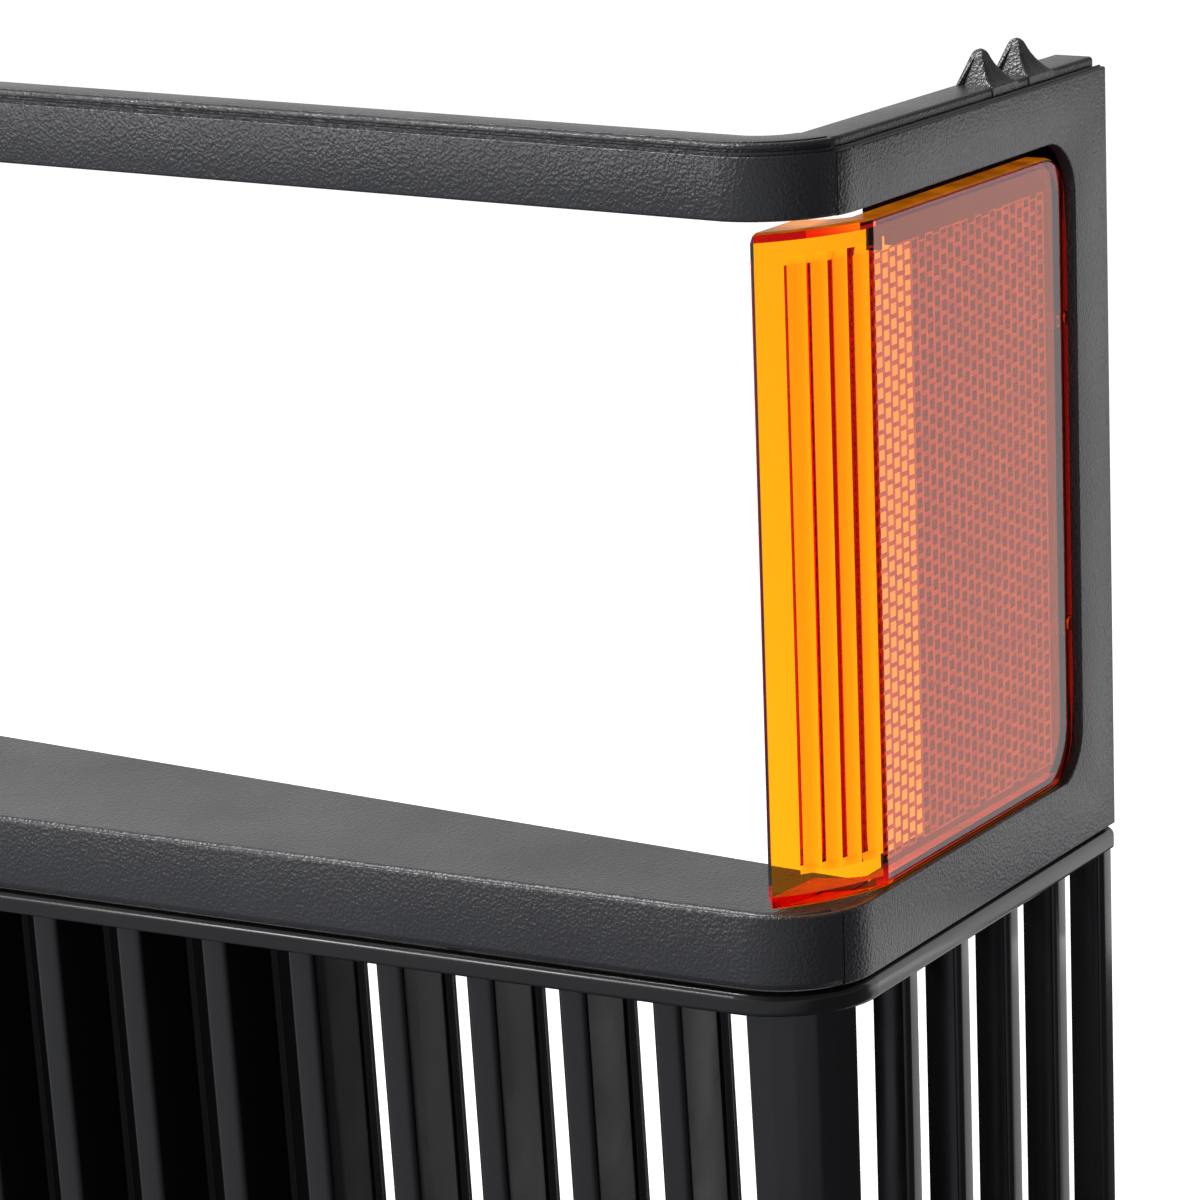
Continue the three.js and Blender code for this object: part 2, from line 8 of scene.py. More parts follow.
import bmesh
import bpy
from mathutils import Matrix, Vector


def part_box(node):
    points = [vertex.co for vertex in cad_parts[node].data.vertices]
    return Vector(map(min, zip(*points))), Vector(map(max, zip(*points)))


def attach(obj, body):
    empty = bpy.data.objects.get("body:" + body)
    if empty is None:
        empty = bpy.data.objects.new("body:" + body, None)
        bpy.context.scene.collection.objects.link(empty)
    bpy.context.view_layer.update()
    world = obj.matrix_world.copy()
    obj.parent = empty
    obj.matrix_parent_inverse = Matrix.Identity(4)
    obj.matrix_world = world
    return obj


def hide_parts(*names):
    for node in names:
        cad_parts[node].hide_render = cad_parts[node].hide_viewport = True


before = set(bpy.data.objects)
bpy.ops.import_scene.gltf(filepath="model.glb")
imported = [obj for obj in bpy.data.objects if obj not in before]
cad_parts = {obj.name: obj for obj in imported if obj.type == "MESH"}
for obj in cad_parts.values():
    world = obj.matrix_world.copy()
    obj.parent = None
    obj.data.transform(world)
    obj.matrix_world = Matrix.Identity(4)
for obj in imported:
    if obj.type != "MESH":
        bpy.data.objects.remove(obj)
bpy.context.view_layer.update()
print("CAD nodes:", len(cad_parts))

# %% [markdown]
# ## Where things are
# Everything is measured in millimetres from the right-hand corner of the bezel: *in* from the outer
# side face, *back* from the front face, and *up* from the underside of the grille's beaded rail. One
# function turns such a place into Blender's metres, so that a number in the lesson is a number on
# the real part.

# %% A place on the part
MM = 0.001
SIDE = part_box("side_frame_right")[1].x
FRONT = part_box("top_bar")[0].y
RAIL_TOP = 5.8
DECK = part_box("side_grille_right")[1].z - RAIL_TOP * MM


def at(inward, back, up):
    return Vector((SIDE - inward * MM, FRONT + back * MM, DECK + up * MM))


middle = SIDE / MM
DEPTH = (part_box("side_frame_right")[1].y - FRONT) / MM
print(f"half width {middle:.1f} mm, depth {DEPTH:.1f} mm")

# %% [markdown]
# ## Sections, sweeps and finished pieces
# Most of this part is trim: one section carried along a line and round a corner. A section starts as
# a flat face, its corners are rounded by bevelling single vertices, and extruding the face leaves
# walls behind it. Rounding the section first is simpler than bevelling long edges afterwards.


# %% A section as a rounded flat face
def section(corners, place, segments=4):
    """corners are (first, second) or (first, second, radius); place turns the first two into a point."""
    bm = bmesh.new()
    verts = [bm.verts.new(place(*corner[:2])) for corner in corners]
    bm.faces.new(verts)
    radii = [corner[2] if len(corner) == 3 else 0 for corner in corners]
    for radius in sorted(set(radii) - {0}):
        chosen = [vert for vert, own in zip(verts, radii) if own == radius]
        bmesh.ops.bevel(
            bm, geom=chosen, offset=radius * MM, segments=segments, profile=0.5, affect="VERTICES", material=-1
        )
    bm.normal_update()
    bm.faces.ensure_lookup_table()
    return bm


# %% Carry a face along a straight or round a corner
def carried(bm, face, moves):
    for move in moves:
        grown = bmesh.ops.extrude_face_region(bm, geom=[face])["geom"]
        bmesh.ops.translate(bm, verts=[g for g in grown if isinstance(g, bmesh.types.BMVert)], vec=move)
        face = next(g for g in grown if isinstance(g, bmesh.types.BMFace))
    return face


def turned(bm, face, centre, degrees, steps):
    """Spins a face about an upright axis; positive degrees turn from the front towards the right side."""
    turn = bmesh.ops.spin(
        bm, geom=[face], cent=centre, axis=(0, 0, 1), dvec=(0, 0, 0), angle=math.radians(degrees), steps=steps,
        use_merge=False, use_duplicate=False,
    )
    return next(g for g in turn["geom_last"] if isinstance(g, bmesh.types.BMFace))


# %% Close, point outwards, pour and mirror a piece
def closed(bm):
    bmesh.ops.remove_doubles(bm, verts=bm.verts, dist=1e-6)
    bmesh.ops.recalc_face_normals(bm, faces=bm.faces)
    return bm


def poured(into, *parts):
    """Adds other shapes to the first one."""
    for part in parts:
        mesh = bpy.data.meshes.new("pour")
        part.to_mesh(mesh)
        part.free()
        into.from_mesh(mesh)
        bpy.data.meshes.remove(mesh)
    return into


def mirrored(bm):
    """A copy on the other side of the middle."""
    other = bm.copy()
    bmesh.ops.scale(other, vec=(-1, 1, 1), verts=other.verts)
    return closed(other)


def whole(half):
    """Opens a half where it stands on the middle, and joins its mirror image on there."""
    on_middle = [face for face in half.faces if abs(face.calc_center_median().x) < 1e-6]
    bmesh.ops.delete(half, geom=on_middle, context="FACES_ONLY")
    return poured(half, mirrored(half))


# %% Finish a piece, or one on each side
def piece(bm, name, finishes, nodes, crease=18):
    """Faces use the first finish unless they were given the number of another."""
    mesh = bpy.data.meshes.new(name)
    bm.to_mesh(mesh)
    bm.free()
    mesh.shade_smooth()
    mesh.set_sharp_from_angle(angle=math.radians(crease))
    for finish in finishes:
        mesh.materials.append(finish)
    made = bpy.data.objects.new(name, mesh)
    bpy.context.scene.collection.objects.link(made)
    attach(made, "root")
    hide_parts(*nodes)
    print(f"{name}: {len(mesh.polygons)} faces")


def both_sides(bm, name, finishes, node, crease=18):
    other = mirrored(bm)
    piece(bm, f"{name}_right", finishes, [f"{node}_right"], crease)
    piece(other, f"{name}_left", finishes, [f"{node}_left"], crease)


# %% Measure an edge, and round a block
def bend_of(edge):
    return edge.calc_face_angle(0)


def rise_of(edge):
    return abs(edge.verts[0].co.z - edge.verts[1].co.z)


def block(low, high, radius):
    """A box between two places, with every edge rounded."""
    bm = bmesh.new()
    bmesh.ops.create_cube(bm, size=1)
    size = Vector([abs(h - l) for l, h in zip(low, high)])
    bmesh.ops.scale(bm, vec=size, verts=bm.verts)
    bmesh.ops.translate(bm, vec=(low + high) / 2, verts=bm.verts)
    bmesh.ops.bevel(
        bm, geom=bm.edges[:], offset=radius * MM, segments=2, profile=0.5, affect="EDGES", material=-1
    )
    return closed(bm)


# %% [markdown]
# ## Finishes
# A finish is a small tree of nodes. One function adds a node: it sets the node's own settings, gives
# a number or colour to a socket, and links a socket when it is handed another node's output. Two
# more functions write down the sockets that turn a pattern into a gloss, a glow or a shade.


# %% Add a node, and read a colour
def add(tree, kind, sockets=(), **settings):
    made = tree.nodes.new(kind)
    for key, value in settings.items():
        setattr(made, key, value)
    for socket, value in dict(sockets).items():
        if isinstance(value, bpy.types.NodeSocket):
            tree.links.new(value, made.inputs[socket])
        else:
            made.inputs[socket].default_value = value
    return made


def paint(code):
    """An sRGB hex colour as linear red, green, blue and alpha."""
    parts = [int(code[n : n + 2], 16) / 255 for n in (1, 3, 5)]
    linear = [p / 12.92 if p <= 0.04045 else ((p + 0.055) / 1.055) ** 2.4 for p in parts]
    return (*linear, 1.0)


def finish_named(name):
    made = bpy.data.materials.new(name)
    made.use_nodes = True
    made.node_tree.nodes.clear()
    return made, made.node_tree


def per_mm(size):
    """The texture scale that repeats a pattern every so many millimetres."""
    return 1 / (size * MM)


def from_to(value, source, result):
    """Map Range sockets: a value in the source range becomes one in the result range."""
    ends = zip(("From Min", "From Max", "To Min", "To Max"), (*source, *result))
    return {"Value": value, **dict(ends)}


def between(share, first, second):
    """Mix sockets: how much of the second colour, and the two colours."""
    return {0: share, 6: paint(first), 7: paint(second)}


# %% [markdown]
# ### Grained ABS
# The bezel is ABS, injection moulded in a steel tool that was etched with a fine leather grain. The
# grain breaks every reflection into small sparks, so the plastic looks dark grey, not black. Cells
# of a Voronoi texture give the pebbles, and a finer noise roughens them. Mouldings also flow in
# slow waves of slightly different gloss.

# %% Grained ABS
GRAIN = 0.7
FINE_GRAIN = 0.3
GRIT_SHARE = 0.45
GLOSS_DRIFT = 40

grained_abs, tree = finish_named("grained_abs")
spot = add(tree, "ShaderNodeTexCoord").outputs["Object"]
pebbles = add(tree, "ShaderNodeTexVoronoi", {"Vector": spot, "Scale": per_mm(GRAIN)}, feature="SMOOTH_F1")
grit = add(tree, "ShaderNodeTexNoise", {"Vector": spot, "Scale": per_mm(FINE_GRAIN), "Detail": 2.0})
drift = add(tree, "ShaderNodeTexNoise", {"Vector": spot, "Scale": per_mm(GLOSS_DRIFT), "Detail": 3.0})
pebbled = {0: grit.outputs[0], 1: GRIT_SHARE, 2: pebbles.outputs["Distance"]}
height = add(tree, "ShaderNodeMath", pebbled, operation="MULTIPLY_ADD")
bump = add(tree, "ShaderNodeBump", {"Height": height.outputs[0], "Strength": 1.0, "Distance": 0.15 * MM})
gloss = add(tree, "ShaderNodeMapRange", from_to(drift.outputs[0], (0.3, 0.7), (0.27, 0.36)))
shade = add(tree, "ShaderNodeMix", between(drift.outputs[0], "#28282b", "#313134"), data_type="RGBA")
skin = add(
    tree, "ShaderNodeBsdfPrincipled",
    {"Base Color": shade.outputs[2], "Roughness": gloss.outputs[0], "IOR": 1.52, "Normal": bump.outputs[0]},
)
add(tree, "ShaderNodeOutputMaterial", {"Surface": skin.outputs[0]})
print("finish:", grained_abs.name)

# %% [markdown]
# The backing behind the lens is the same plastic, but its side of the tool was only blasted. It is
# matt and darker, so that nothing behind the lens shines through it.

# %% Matt backing
matt_backing, tree = finish_named("matt_backing")
spot = add(tree, "ShaderNodeTexCoord").outputs["Object"]
blast = add(tree, "ShaderNodeTexNoise", {"Vector": spot, "Scale": per_mm(FINE_GRAIN), "Detail": 2.0})
shade = add(tree, "ShaderNodeMix", between(blast.outputs[0], "#0b0b0c", "#171718"), data_type="RGBA")
skin = add(
    tree, "ShaderNodeBsdfPrincipled",
    {"Base Color": shade.outputs[2], "Roughness": 0.9, "Specular IOR Level": 0.1},
)
add(tree, "ShaderNodeOutputMaterial", {"Surface": skin.outputs[0]})
print("finish:", matt_backing.name)

# %% [markdown]
# ### Gloss black plastic
# The slatted grille comes from a polished tool. It is nearly black and mirrors the studio in long
# soft streaks. Thick ribs sink a little as they cool, which bends those streaks, and handling
# leaves a few duller patches.

# %% Gloss black plastic
SINK_WAVE = 14
HANDLING = 30

gloss_black, tree = finish_named("gloss_black_plastic")
spot = add(tree, "ShaderNodeTexCoord").outputs["Object"]
wave = add(tree, "ShaderNodeTexNoise", {"Vector": spot, "Scale": per_mm(SINK_WAVE), "Detail": 1.0})
rub = add(tree, "ShaderNodeTexNoise", {"Vector": spot, "Scale": per_mm(HANDLING), "Detail": 4.0})
bump = add(tree, "ShaderNodeBump", {"Height": wave.outputs[0], "Strength": 0.3, "Distance": 0.3 * MM})
gloss = add(tree, "ShaderNodeMapRange", from_to(rub.outputs[0], (0.35, 0.7), (0.16, 0.26)))
shade = add(tree, "ShaderNodeMix", between(rub.outputs[0], "#131314", "#1b1a1a"), data_type="RGBA")
skin = add(
    tree, "ShaderNodeBsdfPrincipled",
    {"Base Color": shade.outputs[2], "Roughness": gloss.outputs[0], "IOR": 1.5, "Normal": bump.outputs[0]},
)
add(tree, "ShaderNodeOutputMaterial", {"Surface": skin.outputs[0]})
print("finish:", gloss_black.name)

# %% [markdown]
# ### Amber acrylic
# The lens is clear acrylic dyed through, so its colour depends on how far light travels in it: a
# wall is orange-yellow, and an edge seen lengthways is deep orange-red. A volume that absorbs blue
# fast, green slowly and red hardly at all does this by itself, and the surface stays clear. The dye
# is given as the shares of red, green and blue that pass, because they lie too close to 1 for the
# steps of a colour code.

# %% Amber acrylic
FLOW = 25
DYE_PASSES = (0.996, 0.848, 0.0, 1.0)
DYE_STRENGTH = 2100.0

amber_acrylic, tree = finish_named("amber_acrylic")
spot = add(tree, "ShaderNodeTexCoord").outputs["Object"]
flow = add(tree, "ShaderNodeTexNoise", {"Vector": spot, "Scale": per_mm(FLOW), "Detail": 1.0})
bump = add(tree, "ShaderNodeBump", {"Height": flow.outputs[0], "Strength": 0.15, "Distance": 0.2 * MM})
clear = add(
    tree, "ShaderNodeBsdfPrincipled",
    {
        "Base Color": paint("#fff4d8"), "Roughness": 0.03, "IOR": 1.49, "Transmission Weight": 1.0,
        "Normal": bump.outputs[0],
    },
)
dye = add(tree, "ShaderNodeVolumeAbsorption", {"Color": DYE_PASSES, "Density": DYE_STRENGTH})
add(tree, "ShaderNodeOutputMaterial", {"Surface": clear.outputs[0], "Volume": dye.outputs[0]})
print("finish:", amber_acrylic.name)

# %% [markdown]
# The reflector's prisms send light back the way it came, many times over, so their sloping sides
# look salmon even above a dark backing. A soft warm glow stands in for all those bounces, broken up
# by the small differences between one prism and the next.

# %% Amber prisms
def glowing_amber(name, patch, detail, glows, surface):
    """Opaque amber whose weak glow varies over patches of a size in millimetres."""
    made, tree = finish_named(name)
    spot = add(tree, "ShaderNodeTexCoord").outputs["Object"]
    uneven = add(tree, "ShaderNodeTexNoise", {"Vector": spot, "Scale": per_mm(patch), "Detail": detail})
    glow = add(tree, "ShaderNodeMapRange", from_to(uneven.outputs[0], (0.3, 0.7), glows))
    skin = add(tree, "ShaderNodeBsdfPrincipled", {**surface, "Emission Strength": glow.outputs[0]})
    add(tree, "ShaderNodeOutputMaterial", {"Surface": skin.outputs[0]})
    print("finish:", made.name)
    return made


amber_prisms = glowing_amber(
    "amber_prisms", 3, 3.0, (0.16, 0.36),
    {"Base Color": paint("#b0682c"), "Roughness": 0.4, "Emission Color": paint("#ffc070")},
)

# %% [markdown]
# A dyed sheet gathers light and lets it out at its edges, which therefore glow deep orange. Here
# the edge faces are opaque, with a painted glow standing in for that light. The glow weakens and
# strengthens slowly along the edge.

# %% Amber edge
# Painted glow: the edge faces are opaque orange and give off a weak light of their own.
amber_edge_glow = glowing_amber(
    "amber_edge_glow", 9, 2.0, (0.15, 0.4),
    {
        "Base Color": paint("#c87a12"), "Roughness": 0.3, "Emission Color": paint("#ff8a10"),
        "Specular IOR Level": 0.15,
    },
)

# %% [markdown]
# ### Zinc-plated steel
# The screws are barrel plated: a thin zinc with a faint warm tint, brighter in some spots and duller
# in others. They keep the CAD model's own meshes.

# %% Zinc-plated steel
BLOOM = 1.5

zinc_steel, tree = finish_named("zinc_plated_steel")
spot = add(tree, "ShaderNodeTexCoord").outputs["Object"]
bloom = add(tree, "ShaderNodeTexNoise", {"Vector": spot, "Scale": per_mm(BLOOM), "Detail": 3.0})
gloss = add(tree, "ShaderNodeMapRange", from_to(bloom.outputs[0], (0, 1), (0.25, 0.5)))
shade = add(tree, "ShaderNodeMix", between(bloom.outputs[0], "#a9a69a", "#c9c8c2"), data_type="RGBA")
skin = add(
    tree, "ShaderNodeBsdfPrincipled",
    {"Base Color": shade.outputs[2], "Metallic": 1.0, "Roughness": gloss.outputs[0]},
)
add(tree, "ShaderNodeOutputMaterial", {"Surface": skin.outputs[0]})

for name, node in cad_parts.items():
    if "screw" in name:
        node.data.materials.clear()
        node.data.materials.append(zinc_steel)
print("finish:", zinc_steel.name)

# %% [markdown]
# ## The bezel's top bar
# The bar is a thin channel, open at the back. Its front has a grained face, then a fine ridge in a
# shadow groove, then a small bead under the flat top. It climbs gently towards the middle of the
# truck, and turns the corner as far as a parting line, where half of a thin gap is left open. Half
# is swept, then mirrored. A short step of its own beside each arc keeps the flat faces' shading flat.

# %% Sizes shared by the bezel's pieces
CORNER = 22
WALL = 3
FLANGE = 2.5
LOWER_BAR = (6.8, 24.3)
SHELF_TOP = 23.5
TOP_BAR = (182.5, 200.0)
SHOULDER = 197
SIDE_RAIL = 12.5
MULLION_IN = 300
CLIMB = 0.0248
PARTING_TOP = 15.5
PARTING_LOWER = 12
PARTING_GAP = 0.4
EASE = 5
corner_centre = at(CORNER, CORNER, 0)


def climb(inward):
    """How far the top bar has risen at a distance in from the side."""
    eased = max(0, inward - MULLION_IN)
    return CLIMB * (max(0, inward - CORNER) - eased**2 / (2 * (middle - MULLION_IN)))


def climbing(stations):
    """The moves along the climbing bar from one distance in to the next."""
    return [Vector(((a - b) * MM, 0, (climb(b) - climb(a)) * MM)) for a, b in zip(stations, stations[1:])]


def parting_angle(back):
    """How far round the corner, in degrees, the outer face is this far back."""
    return math.degrees(math.acos((CORNER - back) / CORNER))


print(f"the top bar climbs {climb(middle):.2f} mm")

# %% Top bar
CLIMB_STEPS = 8
TURN_STEPS = 10
low, high = TOP_BAR
bar_corners = [
    (0, low, 1.0), (0, SHOULDER, 0.35), (0.9, SHOULDER), (0.9, 197.35), (0.5, 197.45), (0.5, 197.85),
    (1.5, 197.95), (1.5, 198.4), (0.8, 198.5, 0.3), (0.8, 199.7, 0.6), (2.2, 199.75, 0.2), (2.2, 199.3),
    (2.7, 199.3), (2.7, high, 0.2), (12, high, 0.3), (12, high - FLANGE), (WALL, high - FLANGE),
    (WALL, low + FLANGE), (12, low + FLANGE), (12, low, 0.4),
]
top_bar = section(bar_corners, lambda u, z: at(middle, u, z + climb(middle)))
easing = [middle - (middle - MULLION_IN) * n / CLIMB_STEPS for n in range(CLIMB_STEPS + 1)]
end = carried(top_bar, top_bar.faces[0], climbing([*easing, CORNER + EASE, CORNER]))
turned(top_bar, end, corner_centre, parting_angle(PARTING_TOP) - PARTING_GAP, TURN_STEPS)
piece(closed(whole(top_bar)), "bezel_top_bar", [grained_abs], ["top_bar"])

# %% [markdown]
# ## The lower bar and its shelf
# Below the headlamp openings the face ends in a rounded lip, with a gutter behind it and a broad
# flat shelf that deepens towards the middle. The face and gutter are swept like the top bar. The
# shelf is a flat plan cut to its outline, then thickened.

# %% Lower bar
GUTTER = 6.6
low, high = LOWER_BAR
face_corners = [
    (0.9, low), (0, low + 1.4, 0.3), (0, high, 0.8), (2.0, high, 0.9), (2.2, 22.9), (2.8, 22.6),
    (4.6, 22.6, 1.0), (5.4, SHELF_TOP, 0.5), (GUTTER, SHELF_TOP), (GUTTER, SHELF_TOP - FLANGE),
    (WALL, SHELF_TOP - FLANGE), (WALL, low),
]
lower_bar = section(face_corners, lambda u, z: at(middle, u, z))
moves = [Vector((run * MM, 0, 0)) for run in (middle - CORNER - EASE, EASE)]
end = carried(lower_bar, lower_bar.faces[0], moves)
shelf_turn = parting_angle(PARTING_LOWER) - PARTING_GAP
turned(lower_bar, end, corner_centre, shelf_turn, TURN_STEPS)
print(f"the lower bar turns {shelf_turn:.1f} degrees")

# %% Shelf
SHELF_BACK = 38.5
SPLAY = 0.1135
inner = SIDE_RAIL + 0.3
arc = CORNER - GUTTER
tangent = arc * math.tan(math.radians(shelf_turn) / 2)
sine, cosine = math.sin(math.radians(shelf_turn)), math.cos(math.radians(shelf_turn))
gutter_end = (CORNER - arc * sine, CORNER - arc * cosine)
reach = (inner - gutter_end[0]) / sine
shelf_depth = SHELF_BACK + SPLAY * (MULLION_IN - SIDE_RAIL)
shelf_plan = [
    (middle, GUTTER), (CORNER - tangent, GUTTER, tangent * 0.999), gutter_end,
    (inner, gutter_end[1] + reach * cosine), (inner, SHELF_BACK), (MULLION_IN, shelf_depth),
    (middle, shelf_depth),
]
shelf = section(shelf_plan, lambda a, y: at(a, y, SHELF_TOP), segments=TURN_STEPS)
carried(shelf, shelf.faces[0], [Vector((0, 0, -FLANGE * MM))])
lower_bar = closed(whole(poured(lower_bar, shelf)))
piece(lower_bar, "bezel_lower_bar", [grained_abs], ["shelf_bar"])

# %% [markdown]
# ## The mullions
# A slim upright divides each headlamp opening from the centre grille. It is hidden in most views,
# so it is a simple rounded post between the shelf and the climbing top bar.

# %% Mullions
MULLION_HALF = 5
JOINT_GAP = 0.3
mullion_top = TOP_BAR[0] + climb(MULLION_IN - MULLION_HALF) - JOINT_GAP
mullion_corners = [
    (-MULLION_HALF, 2.5, 1.5), (MULLION_HALF, 2.5, 1.5),
    (MULLION_HALF, 14.5, 0.6), (-MULLION_HALF, 14.5, 0.6),
]
mullion = section(mullion_corners, lambda a, y: at(MULLION_IN + a, y, SHELF_TOP + JOINT_GAP))
carried(mullion, mullion.faces[0], [Vector((0, 0, (mullion_top - SHELF_TOP - JOINT_GAP) * MM))])
both_sides(closed(mullion), "bezel_mullion", [grained_abs], "mullion")

# %% [markdown]
# ## The side frames
# Seen from the side, the bezel is a C: two rails and a rear post round the lens window. A real
# moulding is one skin of even thickness, so the C is drawn once, thickened inwards, and its two
# front ends are spun round the corner to meet the bars. Its outer edges are rounded last.

# %% The C-shaped outer wall
WINDOW_REAR = DEPTH - 19
WINDOW_RADIUS = 14
SIDE_TURN_STEPS = 5
c_outline = [
    (CORNER, LOWER_BAR[0]), (DEPTH, LOWER_BAR[0]), (DEPTH, SHOULDER), (CORNER, SHOULDER),
    (CORNER, TOP_BAR[0]), (WINDOW_REAR, TOP_BAR[0], WINDOW_RADIUS),
    (WINDOW_REAR, SHELF_TOP, WINDOW_RADIUS), (CORNER, SHELF_TOP),
]
side = section(c_outline, lambda y, z: at(0, y, z), segments=TURN_STEPS)
carried(side, side.faces[0], [Vector((-WALL * MM, 0, 0))])
closed(side)
ends = [f for f in side.faces if all(abs(v.co.y - (FRONT + CORNER * MM)) < 1e-6 for v in f.verts)]
window_middle = at(0, 0, (SHELF_TOP + TOP_BAR[0]) / 2).z
for end in ends:
    parting = PARTING_TOP if end.calc_center_median().z > window_middle else PARTING_LOWER
    turned(side, end, corner_centre, -(90 - parting_angle(parting) - PARTING_GAP), SIDE_TURN_STEPS)
closed(side)
everything = side.verts[:] + side.edges[:] + side.faces[:]
ease_place = at(0, CORNER + EASE, 0)
bmesh.ops.bisect_plane(side, geom=everything, plane_co=ease_place, plane_no=(0, 1, 0), dist=1e-7)
print("side wall:", len(side.faces), "faces")

# %% [markdown]
# The bevel takes the sharp edges of the outer skin, round the outline and the window. It leaves out
# the line where the lip will stand, and the upright front ends, which meet the bars.


# %% Round the outer edges
def depth_of(vert):
    """How far in a vertex is from the outer skin, in millimetres."""
    offset = vert.co - corner_centre
    if offset.y >= -1e-6:
        return (SIDE - vert.co.x) / MM
    return CORNER - math.hypot(offset.x, offset.y) / MM


SHARP = 0.6
FRONT_END = 16
lip_line = at(0, 0, SHELF_TOP).z
outer_edges = [
    e for e in side.edges
    if bend_of(e) > SHARP and all(abs(depth_of(v)) < 0.02 for v in e.verts)
    and not all(abs(v.co.z - lip_line) < 1e-6 for v in e.verts)
    and (e.verts[0].co.y > FRONT + FRONT_END * MM or rise_of(e) < 1 * MM)
]
bmesh.ops.bevel(
    side, geom=outer_edges, offset=0.6 * MM, segments=3, profile=0.5, affect="EDGES", material=-1,
    clamp_overlap=True,
)
print("rounded edges:", len(outer_edges))

# %% [markdown]
# On top of the wall sits a raised land with a fine ridge beside it, and below the window a lip and a
# sill carry on from the lower bar. Each is a section swept round what is left of the corner. Behind
# the lens are a dark backing and the ledge its edge rests on, with a small notch near the front.


# %% Rails along the side, swept from the parting line to the rear
RAIL_TURN_STEPS = 6


def side_rail(corners, parting, rear):
    angle = math.radians(parting_angle(parting) + PARTING_GAP)
    sine, cosine = math.sin(angle), math.cos(angle)
    start = lambda u, z: at(CORNER - (CORNER - u) * sine, CORNER - (CORNER - u) * cosine, z)
    bm = section(corners, start)
    end = turned(bm, bm.faces[0], corner_centre, 90 - math.degrees(angle), RAIL_TURN_STEPS)
    carried(bm, end, [Vector((0, run * MM, 0)) for run in (EASE, rear - CORNER - EASE)])
    return closed(bm)


in_wall = WALL - 0.1
land = side_rail(
    [
        (2.4, 195.5), (2.4, 199.6, 0.9), (SIDE_RAIL, 199.8, 0.5), (SIDE_RAIL, 197.4), (in_wall, 196.9),
        (in_wall, 195.5),
    ],
    PARTING_TOP, DEPTH - 2.6,
)
ridge = side_rail(
    [(1.1, 196.4), (1.1, 197.5, 0.25), (1.7, 197.5, 0.25), (1.7, 196.4)], PARTING_TOP, DEPTH - 0.9
)
top_flange = side_rail(
    [(in_wall, 182.6), (in_wall, 185), (SIDE_RAIL, 185), (SIDE_RAIL, 182.6, 0.4)], PARTING_TOP, DEPTH - 0.2
)
lip = side_rail(
    [(0.05, 23.0), (0.05, 24.3, 0.6), (2.0, 24.3, 0.7), (2.0, 23.0)], PARTING_LOWER, WINDOW_REAR + 0.1
)
sill = side_rail(
    [(1.9, 21), (1.9, 23.4), (SIDE_RAIL, 23.4, 0.4), (SIDE_RAIL, 21)], PARTING_LOWER, DEPTH - 0.2
)
rear_return = block(at(SIDE_RAIL, DEPTH - WALL, 6.9), at(in_wall, DEPTH - 0.05, 196.8), 0.4)
print("land:", len(land.faces), "faces, lip:", len(lip.faces), "faces")

# %% Backing and ledge behind the lens
BACKING_IN = 8
LEDGE_FRONT = 46
PANEL_FRONT = 66
PANEL_Z = (27.9, 169.6)
BACKING_Z = (22.5, 183.2)
NOTCH_Y = (47.4, 53.4)
NOTCH_TOP = 172.6
backing_rear = DEPTH - WALL - 0.1
backing_outline = [
    (LEDGE_FRONT, BACKING_Z[1]), (LEDGE_FRONT, PANEL_Z[1]), (NOTCH_Y[0], PANEL_Z[1]),
    (NOTCH_Y[0], NOTCH_TOP), (NOTCH_Y[1], NOTCH_TOP), (NOTCH_Y[1], PANEL_Z[1]),
    (PANEL_FRONT, PANEL_Z[1]), (PANEL_FRONT, PANEL_Z[0]), (LEDGE_FRONT, PANEL_Z[0]),
    (LEDGE_FRONT, BACKING_Z[0]), (backing_rear, BACKING_Z[0]), (backing_rear, BACKING_Z[1]),
]
backing = section(backing_outline, lambda y, z: at(BACKING_IN, y, z))
carried(backing, backing.faces[0], [Vector((-FLANGE * MM, 0, 0))])
closed(backing)
for face in backing.faces:
    face.material_index = 1
print("backing:", len(backing.faces), "faces")

# %% [markdown]
# Two small fins stand on the land near the rear. Each has a steep inner edge, a rounded tip and a
# slope that runs out into the land. An outline is carried back in a few steps, and its sides are
# then drawn together towards the tip.


# %% Fins
FIN_SETBACKS = (32, 52)
FIN_LENGTH = 14
FIN_STEPS = 4
FIN_FOOT = 199.4
FIN_HEIGHT = 8
NARROWING = 0.85


def fin(back):
    outline = [
        (12.4, 196), (12.4, 199.6, 0.3), (10.0, 207.6, 1.6), (7.6, 207.6, 1.4), (5.6, 201.6, 4.0),
        (2.2, FIN_FOOT), (2.2, 196),
    ]
    bm = section(outline, lambda a, z: at(a, back - FIN_LENGTH / 2, z), segments=5)
    carried(bm, bm.faces[0], [Vector((0, FIN_LENGTH / FIN_STEPS * MM, 0))] * FIN_STEPS)
    closed(bm)
    foot = at(0, 0, FIN_FOOT).z
    rim = [
        e for e in bm.edges
        if bend_of(e) > 1.2 and min(v.co.z for v in e.verts) > foot - 0.4 * MM
        and abs(e.verts[0].co.y - e.verts[1].co.y) < 1e-6
    ]
    bmesh.ops.bevel(bm, geom=rim, offset=0.8 * MM, segments=3, profile=0.5, affect="EDGES", material=-1)
    centre = at(0, back, 0).y
    for vert in bm.verts:
        height = min(1, max(0, (vert.co.z - foot) / (FIN_HEIGHT * MM)))
        vert.co.y = centre + (vert.co.y - centre) * (1 - NARROWING * height**0.7)
    return bm


fins = [fin(DEPTH - setback) for setback in FIN_SETBACKS]
poured(side, land, ridge, top_flange, lip, sill, rear_return, backing, *fins)
side_finishes = [grained_abs, matt_backing]
both_sides(side, "bezel_side_frame", side_finishes, "side_frame", crease=35)

# %% [markdown]
# ## The amber corner lens
# The lens is a tray: a front that curves back to a sharp upright edge, then a flat side, with a
# turned-in rim all round. It starts as one bent sheet. The sheet's border is extruded inwards for
# the rim, and solidify gives both the same wall.

